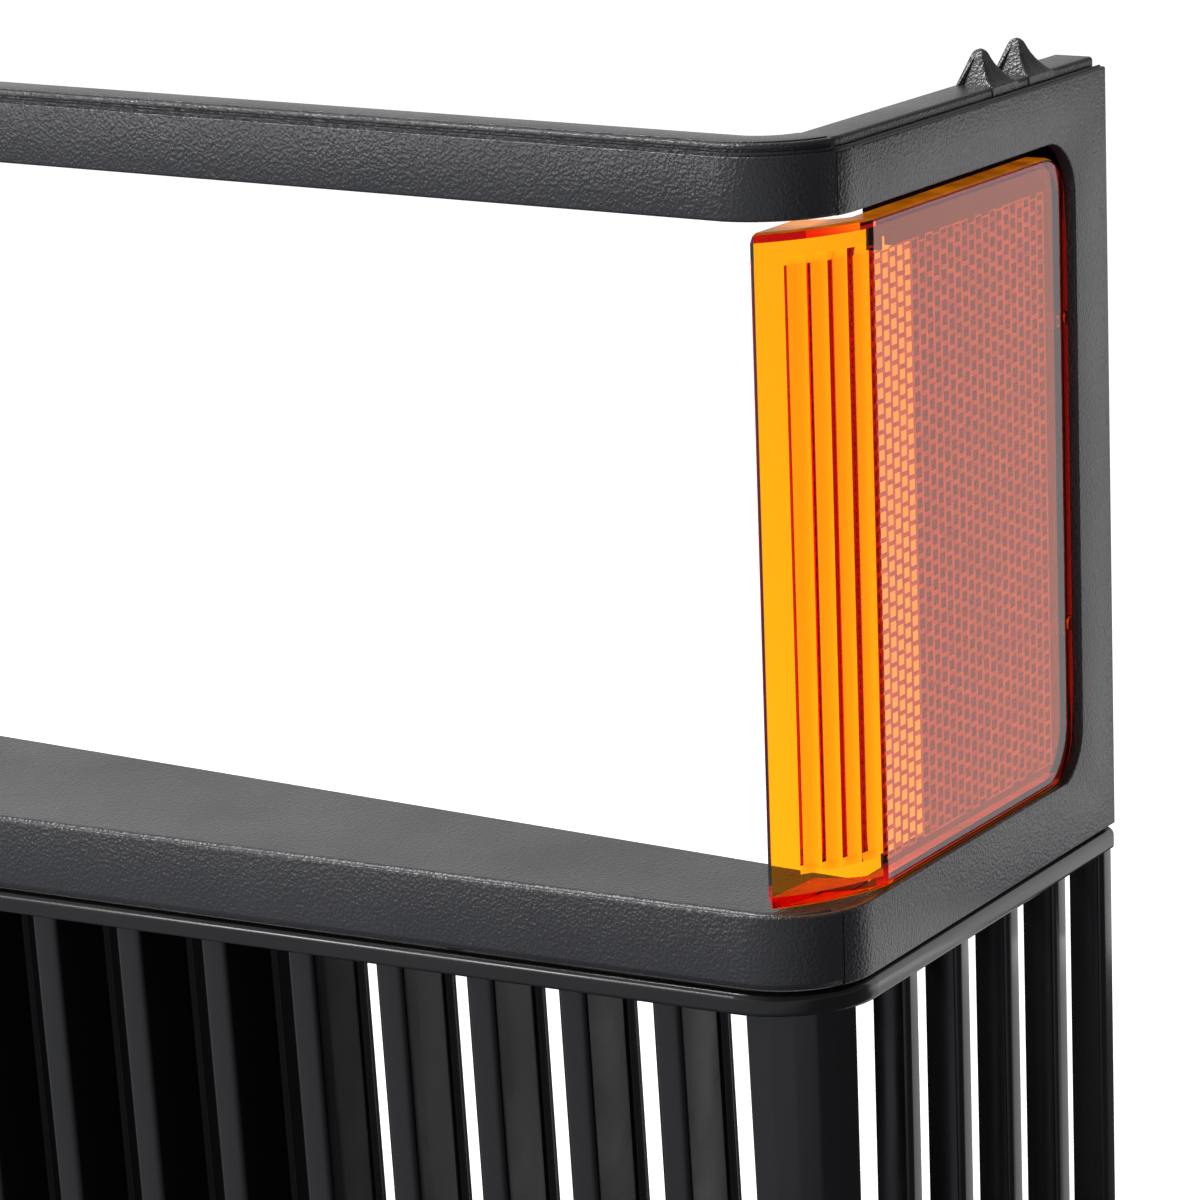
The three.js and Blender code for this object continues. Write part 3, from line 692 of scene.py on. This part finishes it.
# %% The bent sheet
LENS_BOTTOM = SHELF_TOP + 0.3
LENS_TOP = TOP_BAR[0] - 3.5
LENS_IN = 2.3
LENS_WALL = 2.5
LENS_REAR = WINDOW_REAR - 0.3
LENS_CORNER_RADIUS = 12
TURN = 35
FLUTES = (0.24, 0.952)
FLUTE_COUNT = 4
FLUTE_STEPS = 6
STRIPS_BEFORE = 3
lens_start = Vector((18, 7.5))
lens_turn = Vector((LENS_IN, TURN))
bulge = 2.2
chord = lens_turn - lens_start
face_radius = (chord.length_squared / 4 + bulge**2) / (2 * bulge)
inwards = Vector((-chord.y, chord.x)).normalized()
if inwards.x < 0:
    inwards = -inwards
face_centre = (lens_start + lens_turn) / 2 + inwards * (face_radius - bulge)
face_arc = math.degrees(2 * math.asin(chord.length / (2 * face_radius)))
spin_centre = at(face_centre.x, face_centre.y, 0)

lens = bmesh.new()
edge = lens.edges.new([lens.verts.new(at(*lens_start, z)) for z in (LENS_BOTTOM, LENS_TOP)])
flute_strips = FLUTE_COUNT * FLUTE_STEPS
arcs = [(FLUTES[0], STRIPS_BEFORE), (FLUTES[1] - FLUTES[0], flute_strips), (1 - FLUTES[1], 1)]
for share, steps in arcs:
    swung = bmesh.ops.spin(
        lens, geom=[edge], cent=spin_centre, axis=(0, 0, 1), dvec=(0, 0, 0),
        angle=math.radians(face_arc * share), steps=steps, use_merge=False, use_duplicate=False,
    )
    edge = next(g for g in swung["geom_last"] if isinstance(g, bmesh.types.BMEdge))
grown = bmesh.ops.extrude_edge_only(lens, edges=[edge])["geom"]
rear = [g for g in grown if isinstance(g, bmesh.types.BMVert)]
for vert in rear:
    vert.co.y = FRONT + LENS_REAR * MM
bmesh.ops.bevel(
    lens, geom=rear, offset=LENS_CORNER_RADIUS * MM, segments=8, profile=0.5, affect="VERTICES", material=-1
)
print(f"lens front radius {face_radius:.1f} mm over {face_arc:.1f} degrees")

# %% The turned-in rim, and the wall
RIM = 5.2
LEDGE = 20
open_side = at(lens_start.x, 0, 0).x
border = [
    e for e in lens.edges if e.is_boundary and not all(abs(v.co.x - open_side) < 1e-6 for v in e.verts)
]
grown = bmesh.ops.extrude_edge_only(lens, edges=border)["geom"]
for vert in [g for g in grown if isinstance(g, bmesh.types.BMVert)]:
    if vert.co.y > FRONT + (TURN - 0.01) * MM:
        vert.co.x -= RIM * MM
    else:
        share = ((vert.co.y - FRONT) / MM - lens_start.y) / (TURN - lens_start.y)
        vert.co += Vector((-RIM * share, LEDGE * (1 - share), 0)) * MM
bmesh.ops.remove_doubles(lens, verts=lens.verts, dist=1e-6)
bmesh.ops.recalc_face_normals(lens, faces=lens.faces)
side_panel = max(lens.faces, key=lambda f: f.calc_area())
if side_panel.normal.x < 0:
    bmesh.ops.reverse_faces(lens, faces=lens.faces)
bmesh.ops.solidify(lens, geom=lens.faces[:], thickness=LENS_WALL * MM)
lens.normal_update()
panel_x = at(LENS_IN + LENS_WALL, 0, 0).x
inner_panel = max((f for f in lens.faces if f.normal.x < -0.9), key=lambda f: f.calc_area())
for vert in inner_panel.verts:
    vert.co.x = panel_x


def reach_from(point):
    return math.hypot(point.x - spin_centre.x, point.y - spin_centre.y) / MM


def outside(vert):
    if vert.co.y < FRONT + (TURN - 0.01) * MM:
        return abs(reach_from(vert.co) - face_radius) < 0.02
    return abs(vert.co.x - at(LENS_IN, 0, 0).x) < 0.02 * MM


brim = [
    e for e in lens.edges
    if bend_of(e) > 1.0 and all(outside(v) for v in e.verts)
    and (e.calc_length() < 120 * MM or rise_of(e) < 1 * MM)
]
bmesh.ops.bevel(lens, geom=brim, offset=0.9 * MM, segments=3, profile=0.5, affect="EDGES", material=-1)
print("lens walls:", len(lens.faces))

# %% [markdown]
# Inside, the curved front carries upright flutes that spread the lamp's light, and the flat side is
# a reflex reflector: staggered rows of small blunt prisms. Light that meets a prism's sloping side
# is thrown back, and light that meets its flat top passes through, so the rows show as a lattice.
# The inner wall is sliced into strips and cells, and insetting each one raises its prism.

# %% Slice a face with a plane
def sliced(bm, faces, point, normal):
    """Cuts faces and returns them and the new ones."""
    parts = set(faces)
    parts.update(e for f in faces for e in f.edges)
    parts.update(v for f in faces for v in f.verts)
    cut = bmesh.ops.bisect_plane(bm, geom=list(parts), plane_co=point, plane_no=normal, dist=1e-7)
    edges = [g for g in cut["geom_cut"] if isinstance(g, bmesh.types.BMEdge)]
    return list(set(f for f in faces if f.is_valid) | set(f for e in edges for f in e.link_faces))


# %% Flutes on the curved front
FLUTE_Z = (31, 33, 171, 173)
FLUTE_DEPTH = 0.9
inner_radius = face_radius - LENS_WALL
lens.normal_update()
strips = [
    f for f in lens.faces
    if abs(f.normal.z) < 0.1 and max(abs(reach_from(v.co) - inner_radius) for v in f.verts) < 0.1
    and f.calc_center_median().y < FRONT + TURN * MM
]
strips.sort(key=lambda f: f.calc_center_median().y)
print("inner strips:", len(strips))
flutes = strips[STRIPS_BEFORE : STRIPS_BEFORE + flute_strips]
for z in FLUTE_Z:
    flutes = sliced(lens, flutes, at(0, 0, z), (0, 0, 1))
first_way = at(*lens_start, 0) - spin_centre
low, high = at(0, 0, FLUTE_Z[1] - 0.1).z, at(0, 0, FLUTE_Z[2] + 0.1).z
for vert in {v for f in flutes for v in f.verts if low < v.co.z < high}:
    way = Vector((vert.co.x - spin_centre.x, vert.co.y - spin_centre.y, 0))
    share = way.angle(Vector((first_way.x, first_way.y, 0))) / math.radians(face_arc)
    phase = (share - FLUTES[0]) / (FLUTES[1] - FLUTES[0]) * FLUTE_COUNT
    vert.co -= way.normalized() * FLUTE_DEPTH * abs(math.sin(math.pi * phase)) * MM

# %% Reflector cells on the flat side
CELL = (3.74, 3.56)
STAGGER = 1.55
PRISM_INSET = 0.58
PRISM_DEPTH = 0.5
FIELD_Y = (37.0, 126.8)
FIELD_Z = (29.7, 171.0)
lens.normal_update()
panel = [
    f for f in lens.faces
    if f.normal.x < -0.9 and max(abs(v.co.x - panel_x) for v in f.verts) < 0.1 * MM
]
print("inner panel faces:", len(panel))
for z in FIELD_Z:
    panel = sliced(lens, panel, at(0, 0, z), (0, 0, 1))
columns = round((FIELD_Y[1] - FIELD_Y[0]) / CELL[0])
for n in range(columns + 1):
    panel = sliced(lens, panel, at(0, FIELD_Y[0] + n * CELL[0], 0), (0, 1, 0))
field = [
    f for f in panel
    if at(0, 0, FIELD_Z[0]).z < f.calc_center_median().z < at(0, 0, FIELD_Z[1]).z
    and at(0, FIELD_Y[0], 0).y < f.calc_center_median().y < at(0, FIELD_Y[1], 0).y
]
print("columns:", len(field))
cells = []
for face in field:
    column = round(((face.calc_center_median().y - FRONT) / MM - FIELD_Y[0]) / CELL[0] - 0.5)
    level = FIELD_Z[0] + (CELL[1] - STAGGER * column) % CELL[1]
    while level < FIELD_Z[1] - 0.3:
        if level > FIELD_Z[0] + 0.3:
            parts = sliced(lens, [face], at(0, 0, level), (0, 0, 1))
            parts.sort(key=lambda f: f.calc_center_median().z)
            cells.append(parts[0])
            face = parts[-1]
        level += CELL[1]
    cells.append(face)
cells = [f for f in cells if f.is_valid and f.calc_area() > 5 * MM * MM]
bmesh.ops.inset_individual(
    lens, faces=cells, thickness=PRISM_INSET * MM, depth=PRISM_DEPTH * MM, use_even_offset=True
)
lens.normal_update()
tops = set(cells)
for face in {near for top in cells for edge in top.edges for near in edge.link_faces} - tops:
    if abs(face.normal.x) < 0.97:
        face.material_index = 1
print("reflector cells:", len(cells))
print("prism sides:", sum(face.material_index for face in lens.faces))

# %% Edges that glow
rim_levels = at(0, 0, LENS_BOTTOM + 1).z, at(0, 0, LENS_TOP - 1).z
for face in lens.faces:
    height = face.calc_center_median().z
    on_rim = not rim_levels[0] < height < rim_levels[1] and face.normal.z != 0
    if on_rim and (abs(face.normal.z) > 0.3 or face.normal.x < -0.6 and face.calc_area() < 60 * MM * MM):
        face.material_index = 2
print("glowing edge faces:", sum(face.material_index == 2 for face in lens.faces))

# %% Pins that locate the lens, and the finished lenses
PIN_PLACES = ((134.2, 138), (135.0, 62))
PIN_RADII = (2, 1.8)
PIN_LENGTH = 2.6
pins = bmesh.new()
for back, up in PIN_PLACES:
    pin_place = Matrix.Translation(at(LENS_IN + LENS_WALL + 1.4, back, up))
    bmesh.ops.create_cone(
        pins, cap_ends=True, segments=24, radius1=PIN_RADII[0] * MM, radius2=PIN_RADII[1] * MM,
        depth=PIN_LENGTH * MM, matrix=pin_place @ Matrix.Rotation(math.pi / 2, 4, "Y"),
    )
bmesh.ops.recalc_face_normals(pins, faces=pins.faces)
closed(lens)
poured(lens, pins)
lens_finishes = [amber_acrylic, amber_prisms, amber_edge_glow]
both_sides(lens, "amber_lens", lens_finishes, "corner_lens", crease=12)

# %% [markdown]
# ## The slatted grille
# Below the bezel hangs one glossy moulding: a beaded rail, blade-like slats that lean back as they
# go down, a broad faceted post on each corner, and a foot rail. The slots next to the posts are open,
# and a flat wall behind the slats closes the others. Each slat is a rounded section pulled down and,
# by the lean, back.

# %% Slats
LEAN = 0.057
DROP = 200
SLAT = (7.5, 23)
INSET = 0.5
SIDE_SLAT = (6.6, 9.5)
POST = (22.4, 17)
OPEN_SLOTS = 5
SLAT_PITCH = 25
SLAT_TOP = RAIL_TOP - 1
SLAT_FOOT = -DROP - 0.5
TAPER = 0.7
SLAT_FLANGE = (1.3, 2.0)


def slat_section(width, depth, flanged):
    """A blade with eased front edges; a flanged one widens again at its rear."""
    half = width / 2
    web = half - TAPER
    edge = [(-half, 1.0, 0.7), (-half + 1.2, 0, 0.5), (half - 1.2, 0, 0.5), (half, 1.0, 0.7)]
    if not flanged:
        return edge + [(web, depth, 0.4), (-web, depth, 0.4)]
    wide, flange = half + SLAT_FLANGE[0], depth - SLAT_FLANGE[1]
    rear = [(web, flange, 0.5), (wide, flange, 0.4), (wide, depth, 0.4)]
    return edge + rear + [(-across, back, radius) for across, back, radius in reversed(rear)]


def slat(centre, front, width, depth, top, bottom, lean, along_side=False):
    """centre is measured along the front or, for a slat on the side, back from the front."""
    if along_side:
        place = lambda across, back: at(front + back, centre + across, top)
    else:
        place = lambda across, back: at(middle - centre - across, front + back, top)
    bm = section(slat_section(width, depth, not along_side), place, segments=3)
    carried(bm, bm.faces[0], [Vector((0, lean * -bottom * MM, (bottom - top) * MM))])
    return bm


span = middle - POST[0] + SLAT[0] / 2
count = round(span / SLAT_PITCH)
pitch = span / count
front_slats = [
    slat(n * pitch, INSET + 0.6, SLAT[0], SLAT[1] - 0.7, SLAT_TOP, SLAT_FOOT, LEAN)
    for n in range(1 - count, count)
]
print(f"front slats: {len(front_slats)}, {pitch:.2f} mm apart")

# %% Back wall
wall_end = (count - OPEN_SLOTS) * pitch * MM
wall_front = INSET + SLAT[1] - SLAT_FLANGE[1] + 0.1
wall_rear = INSET + SLAT[1] - 0.2
wall_corners = [(-wall_end, wall_front), (wall_end, wall_front), (wall_end, wall_rear), (-wall_end, wall_rear)]
wall = section(wall_corners, lambda x, y: Vector((x, FRONT + y * MM, at(0, 0, RAIL_TOP - 1.2).z)))
carried(wall, wall.faces[0], [Vector((0, LEAN * DROP * MM, -(DROP + RAIL_TOP - 1) * MM))])
grille = poured(bmesh.new(), wall, *front_slats)
print(f"back wall: {2 * wall_end / MM:.0f} mm wide")

# %% [markdown]
# The corner post follows the rail round its corner in five flat bands, so it is spun in five steps
# and only the edges between the bands are rounded. Its front edge leans with the slats and its side
# edge stays upright, so its lower end is moved back by a share that fades round the corner.

# %% Corner post
RAIL_CORNER = 25
POST_BANDS = 5
POST_DEPTHS = (0.3, 9)
FADE_REAR = 28.7
FADE_RUN = 10
outer_arc = RAIL_CORNER - INSET
rail_centre = at(RAIL_CORNER, RAIL_CORNER, 0)
first = math.degrees(math.asin((RAIL_CORNER - POST[0]) / outer_arc))
last = math.degrees(math.acos((RAIL_CORNER - POST[1]) / outer_arc))
post = bmesh.new()
radial = Vector((math.sin(math.radians(first)), -math.cos(math.radians(first)), 0))
post_axis = rail_centre + Vector((0, 0, SLAT_TOP * MM))
rim = [post_axis + radial * (outer_arc - depth) * MM for depth in POST_DEPTHS]
edge = post.edges.new([post.verts.new(point) for point in rim])
bmesh.ops.spin(
    post, geom=[edge], cent=rail_centre, axis=(0, 0, 1), dvec=(0, 0, 0), angle=math.radians(last - first),
    steps=POST_BANDS, use_merge=False, use_duplicate=False,
)
grown = bmesh.ops.extrude_face_region(post, geom=post.faces[:])["geom"]
for vert in [g for g in grown if isinstance(g, bmesh.types.BMVert)]:
    inward = (SIDE - vert.co.x) / MM
    back = (vert.co.y - FRONT) / MM
    share = min(1, max(0, inward / POST[0])) * min(1, max(0, (FADE_REAR - back) / FADE_RUN))
    vert.co.z = at(0, 0, SLAT_FOOT).z
    vert.co.y += LEAN * DROP * share * MM
closed(post)
bands = [e for e in post.edges if e.calc_length() > 100 * MM and bend_of(e) > 0.1]
bmesh.ops.bevel(post, geom=bands, offset=0.5 * MM, segments=2, profile=0.5, affect="EDGES", material=-1)
print("corner post edges:", len(bands))

# %% Side slats
SIDE_PITCH = 27.5
SIDE_COUNT = 5
last_side = DEPTH - SIDE_SLAT[0] / 2
side_slats = [
    slat(last_side - SIDE_PITCH * n, INSET + 0.3, *SIDE_SLAT, SLAT_TOP, SLAT_FOOT, 0, along_side=True)
    for n in range(SIDE_COUNT)
]
print("side slats on each side:", len(side_slats))

# %% Rail bead round the front, corner and side
bead_corners = [(4.4, 5.7), (INSET, 5.7, 2.0), (INSET, 0.0, 1.2), (4.4, 0.0, 0.4)]
bead = section(bead_corners, lambda u, z: at(middle, u, z), segments=6)
moves = [Vector((run * MM, 0, 0)) for run in (middle - RAIL_CORNER - EASE, EASE)]
end = carried(bead, bead.faces[0], moves)
end = turned(bead, end, rail_centre, 90, 14)
carried(bead, end, [Vector((0, run * MM, 0)) for run in (EASE, DEPTH - RAIL_CORNER - EASE)])
print("bead:", len(bead.faces), "faces")

# %% Rail plate and foot rail
PLATE = 2.8
FOOT = 14
PLAN_RADIUS = 20
plate_rear = DEPTH - 0.2
plate_plan = [
    (middle, 3), (3, 3, PLAN_RADIUS), (3, plate_rear), (SIDE_RAIL, plate_rear), (SIDE_RAIL, 23.4),
    (middle, 23.4),
]
plate = section(plate_plan, lambda a, y: at(a, y, RAIL_TOP), segments=8)
foot_front = INSET + LEAN * DROP
foot_rear = foot_front + SLAT[1]
foot_inner = INSET + SIDE_SLAT[1]
foot_plan = [
    (middle, foot_front), (INSET, foot_front, PLAN_RADIUS), (INSET, DEPTH), (foot_inner, DEPTH),
    (foot_inner, foot_rear), (middle, foot_rear),
]
foot = section(foot_plan, lambda a, y: at(a, y, -DROP), segments=8)
for rail, drop in ((plate, PLATE), (foot, FOOT)):
    carried(rail, rail.faces[0], [Vector((0, 0, -drop * MM))])
grille = closed(poured(grille, whole(poured(post, *side_slats, bead, plate, foot))))
replaced = [f"{kind}_{hand}" for kind in ("corner_post", "side_grille") for hand in ("right", "left")]
piece(grille, "lower_grille", [gloss_black], ["front_grille", *replaced])

# %% [markdown]
# ## The centre grille
# Between the mullions a second row of the same slats stands on the shelf, under a head rail that
# follows the top bar's climb.

# %% Centre grille
CENTRE_Y = (3, 26)
CENTRE_RAIL = 6
HEAD_STEPS = 6
near, far = CENTRE_Y
end_in = MULLION_IN + MULLION_HALF + JOINT_GAP
low = SHELF_TOP + JOINT_GAP
high = TOP_BAR[0] - JOINT_GAP
head_under = high - CENTRE_RAIL
base_top = low + CENTRE_RAIL
head = section(
    [(near, head_under, 1), (far, head_under, 0.5), (far, high, 0.5), (near, high, 1)],
    lambda y, z: at(middle, y, z + climb(middle)),
)
head_stations = [middle - (middle - end_in) * n / HEAD_STEPS for n in range(HEAD_STEPS + 1)]
carried(head, head.faces[0], climbing(head_stations))
base = section(
    [(near, low, 0.5), (far, low, 0.5), (far, base_top, 0.5), (near, base_top, 1)],
    lambda y, z: at(middle, y, z),
)
carried(base, base.faces[0], [Vector(((middle - end_in) * MM, 0, 0))])
centre = whole(poured(head, base))
print("centre rails:", len(centre.faces), "faces")

# %% Its slats
blade_depth = SLAT[1] - 0.8
blade_top = high - CENTRE_RAIL / 2
blade_foot = low + CENTRE_RAIL / 2
furthest = int((middle - end_in - SLAT[0] - SLAT_FLANGE[0]) / pitch)
for n in range(-furthest, furthest + 1):
    top = blade_top + climb(middle - abs(n * pitch))
    poured(centre, slat(n * pitch, near + 0.4, SLAT[0], blade_depth, top, blade_foot, 0))
piece(closed(centre), "centre_grille_slats", [gloss_black], ["centre_grille"])

# %% [markdown]
# ## Studio
# A pale seamless floor runs under and behind the part. To the camera, and through the clear lens, it
# is plainly pale. In reflections it acts as a studio's cards do: bright in front of the part and to
# its left, and dim behind, so that the glossy faces get something to mirror on one side only.

# %% Floor
def seen_directly(tree):
    """1 for what the camera sees, straight or through the lens, and 0 for reflections and light."""
    ray = add(tree, "ShaderNodeLightPath")
    sights = {0: ray.outputs["Is Camera Ray"], 1: ray.outputs["Is Transmission Ray"]}
    return add(tree, "ShaderNodeMath", sights, operation="MAXIMUM").outputs[0]


FLOOR_REACH = 20
TOWARDS_CARD = (-0.5, -0.866, 0)
floor_paint, tree = finish_named("pale_floor")
pale = add(tree, "ShaderNodeBsdfDiffuse", {"Color": paint("#e6e6e6")})
lit = add(tree, "ShaderNodeEmission", {"Color": (1, 1, 1, 1), "Strength": 0.8})
shown = add(tree, "ShaderNodeAddShader", {0: pale.outputs[0], 1: lit.outputs[0]})
spot = add(tree, "ShaderNodeTexCoord").outputs["Object"]
ahead = add(tree, "ShaderNodeVectorMath", {0: spot, 1: TOWARDS_CARD}, operation="DOT_PRODUCT")
card = add(tree, "ShaderNodeMapRange", from_to(ahead.outputs["Value"], (-0.2, 0.15), (0.13, 0.6)))
bounce = add(tree, "ShaderNodeEmission", {"Color": paint("#f1f4ff"), "Strength": card.outputs[0]})
both = add(tree, "ShaderNodeMixShader", {0: seen_directly(tree), 1: bounce.outputs[0], 2: shown.outputs[0]})
add(tree, "ShaderNodeOutputMaterial", {"Surface": both.outputs[0]})
ground = bmesh.new()
bmesh.ops.create_grid(ground, x_segments=1, y_segments=1, size=FLOOR_REACH)
mesh = bpy.data.meshes.new("floor")
ground.to_mesh(mesh)
ground.free()
mesh.materials.append(floor_paint)
floor = bpy.data.objects.new("floor", mesh)
bpy.context.scene.collection.objects.link(floor)
print("floor:", floor.name)

# %% [markdown]
# ### Sky
# The sky is plain white where it is seen. For light and reflections it is brighter towards the left,
# dim towards the right, and brighter near the horizon than above it. The front faces then stay dark
# and even, and the flat shelf, which is seen at a low angle, mirrors the brighter horizon.

# %% Sky
sky = bpy.data.worlds.new("studio")
bpy.context.scene.world = sky
sky.use_nodes = True
tree = sky.node_tree
tree.nodes.clear()
way = add(tree, "ShaderNodeSeparateXYZ", {0: add(tree, "ShaderNodeTexCoord").outputs["Generated"]})
leftward = add(tree, "ShaderNodeMapRange", from_to(way.outputs["X"], (-0.6, 0.25), (0.8, 0.2)))
horizon = add(tree, "ShaderNodeMapRange", from_to(way.outputs["Z"], (0.12, 0.2), (1.5, 0.75)))
shaded = add(tree, "ShaderNodeMath", {0: leftward.outputs[0], 1: horizon.outputs[0]}, operation="MULTIPLY")
sights = {0: seen_directly(tree), 2: shaded.outputs[0], 3: 1.0}
strength = add(tree, "ShaderNodeMix", sights, data_type="FLOAT")
glow = add(tree, "ShaderNodeBackground", {"Color": (1, 1, 1, 1), "Strength": strength.outputs[0]})
add(tree, "ShaderNodeOutputWorld", {"Surface": glow.outputs[0]})
print("sky:", sky.name)

# %% [markdown]
# ### Soft boxes
# A box overhead draws the bright lines on the lip and the bead, and one low in front brings out the
# grain. Two cards stand beside the part. The upper one lights the side frame, and the narrow lower
# one lights the side slats.


# %% Soft boxes
def soft_box(name, place, towards, size, brightness):
    """brightness is the box's own, whatever its size; it lights the part but the camera can't see it."""
    lamp = bpy.data.lights.new(name, "AREA")
    lamp.shape = "RECTANGLE"
    lamp.size, lamp.size_y = size
    lamp.energy = brightness * 4 * size[0] * size[1]
    made = bpy.data.objects.new(name, lamp)
    bpy.context.scene.collection.objects.link(made)
    aim = (towards - place).to_track_quat("-Z", "Y")
    made.matrix_world = Matrix.Translation(place) @ aim.to_matrix().to_4x4()
    made.visible_camera = False
    print(f"{name}: {lamp.energy:.2f} W")


corner = at(0, 0, 50)
beside = at(0, DEPTH / 2, 0)
soft_box("overhead_box", corner + Vector((-0.6, -0.3, 1.2)), corner, (0.45, 0.3), 32)
soft_box("grain_box", corner + Vector((-0.9, -1.25, 0.35)), corner, (0.3, 0.3), 14)
upper, lower = beside + Vector((0, 0, 0.045)), beside + Vector((0, 0, -0.12))
soft_box("side_card", upper + Vector((0.146, 0.253, 0)), upper, (0.26, 0.29), 0.9)
soft_box("low_card", lower + Vector((0.03, 0.052, 0)), lower, (0.09, 0.2), 0.7)

# %% [markdown]
# ### Camera
# A long lens looks at the corner from in front, outside and above it, and is rolled slightly. The
# three directions of the camera are worked out from its angles, and make the columns of its matrix.

# %% Camera
FOCAL_LENGTH = 152.8
STAND = (-504.7, -968.6, 360.8)
azimuth, elevation, roll = math.radians(30.06), math.radians(13.376), math.radians(-2.1)
level = Vector((-math.sin(azimuth), math.cos(azimuth), 0))
away = level * math.cos(elevation) - Vector((0, 0, math.sin(elevation)))
right = away.cross(Vector((0, 0, 1))).normalized()
up = right.cross(away)
tilted_right = right * math.cos(roll) + up * math.sin(roll)
tilted_up = up * math.cos(roll) - right * math.sin(roll)
lens_data = bpy.data.cameras.new("camera")
lens_data.sensor_width = 36
lens_data.lens = FOCAL_LENGTH
camera = bpy.data.objects.new("camera", lens_data)
bpy.context.scene.collection.objects.link(camera)
facing = Matrix((tilted_right, tilted_up, -away)).transposed().to_4x4()
camera.matrix_world = Matrix.Translation(at(*STAND)) @ facing
bpy.context.scene.camera = camera
bpy.context.scene.view_settings.view_transform = "Standard"
print("camera lens:", FOCAL_LENGTH, "mm")
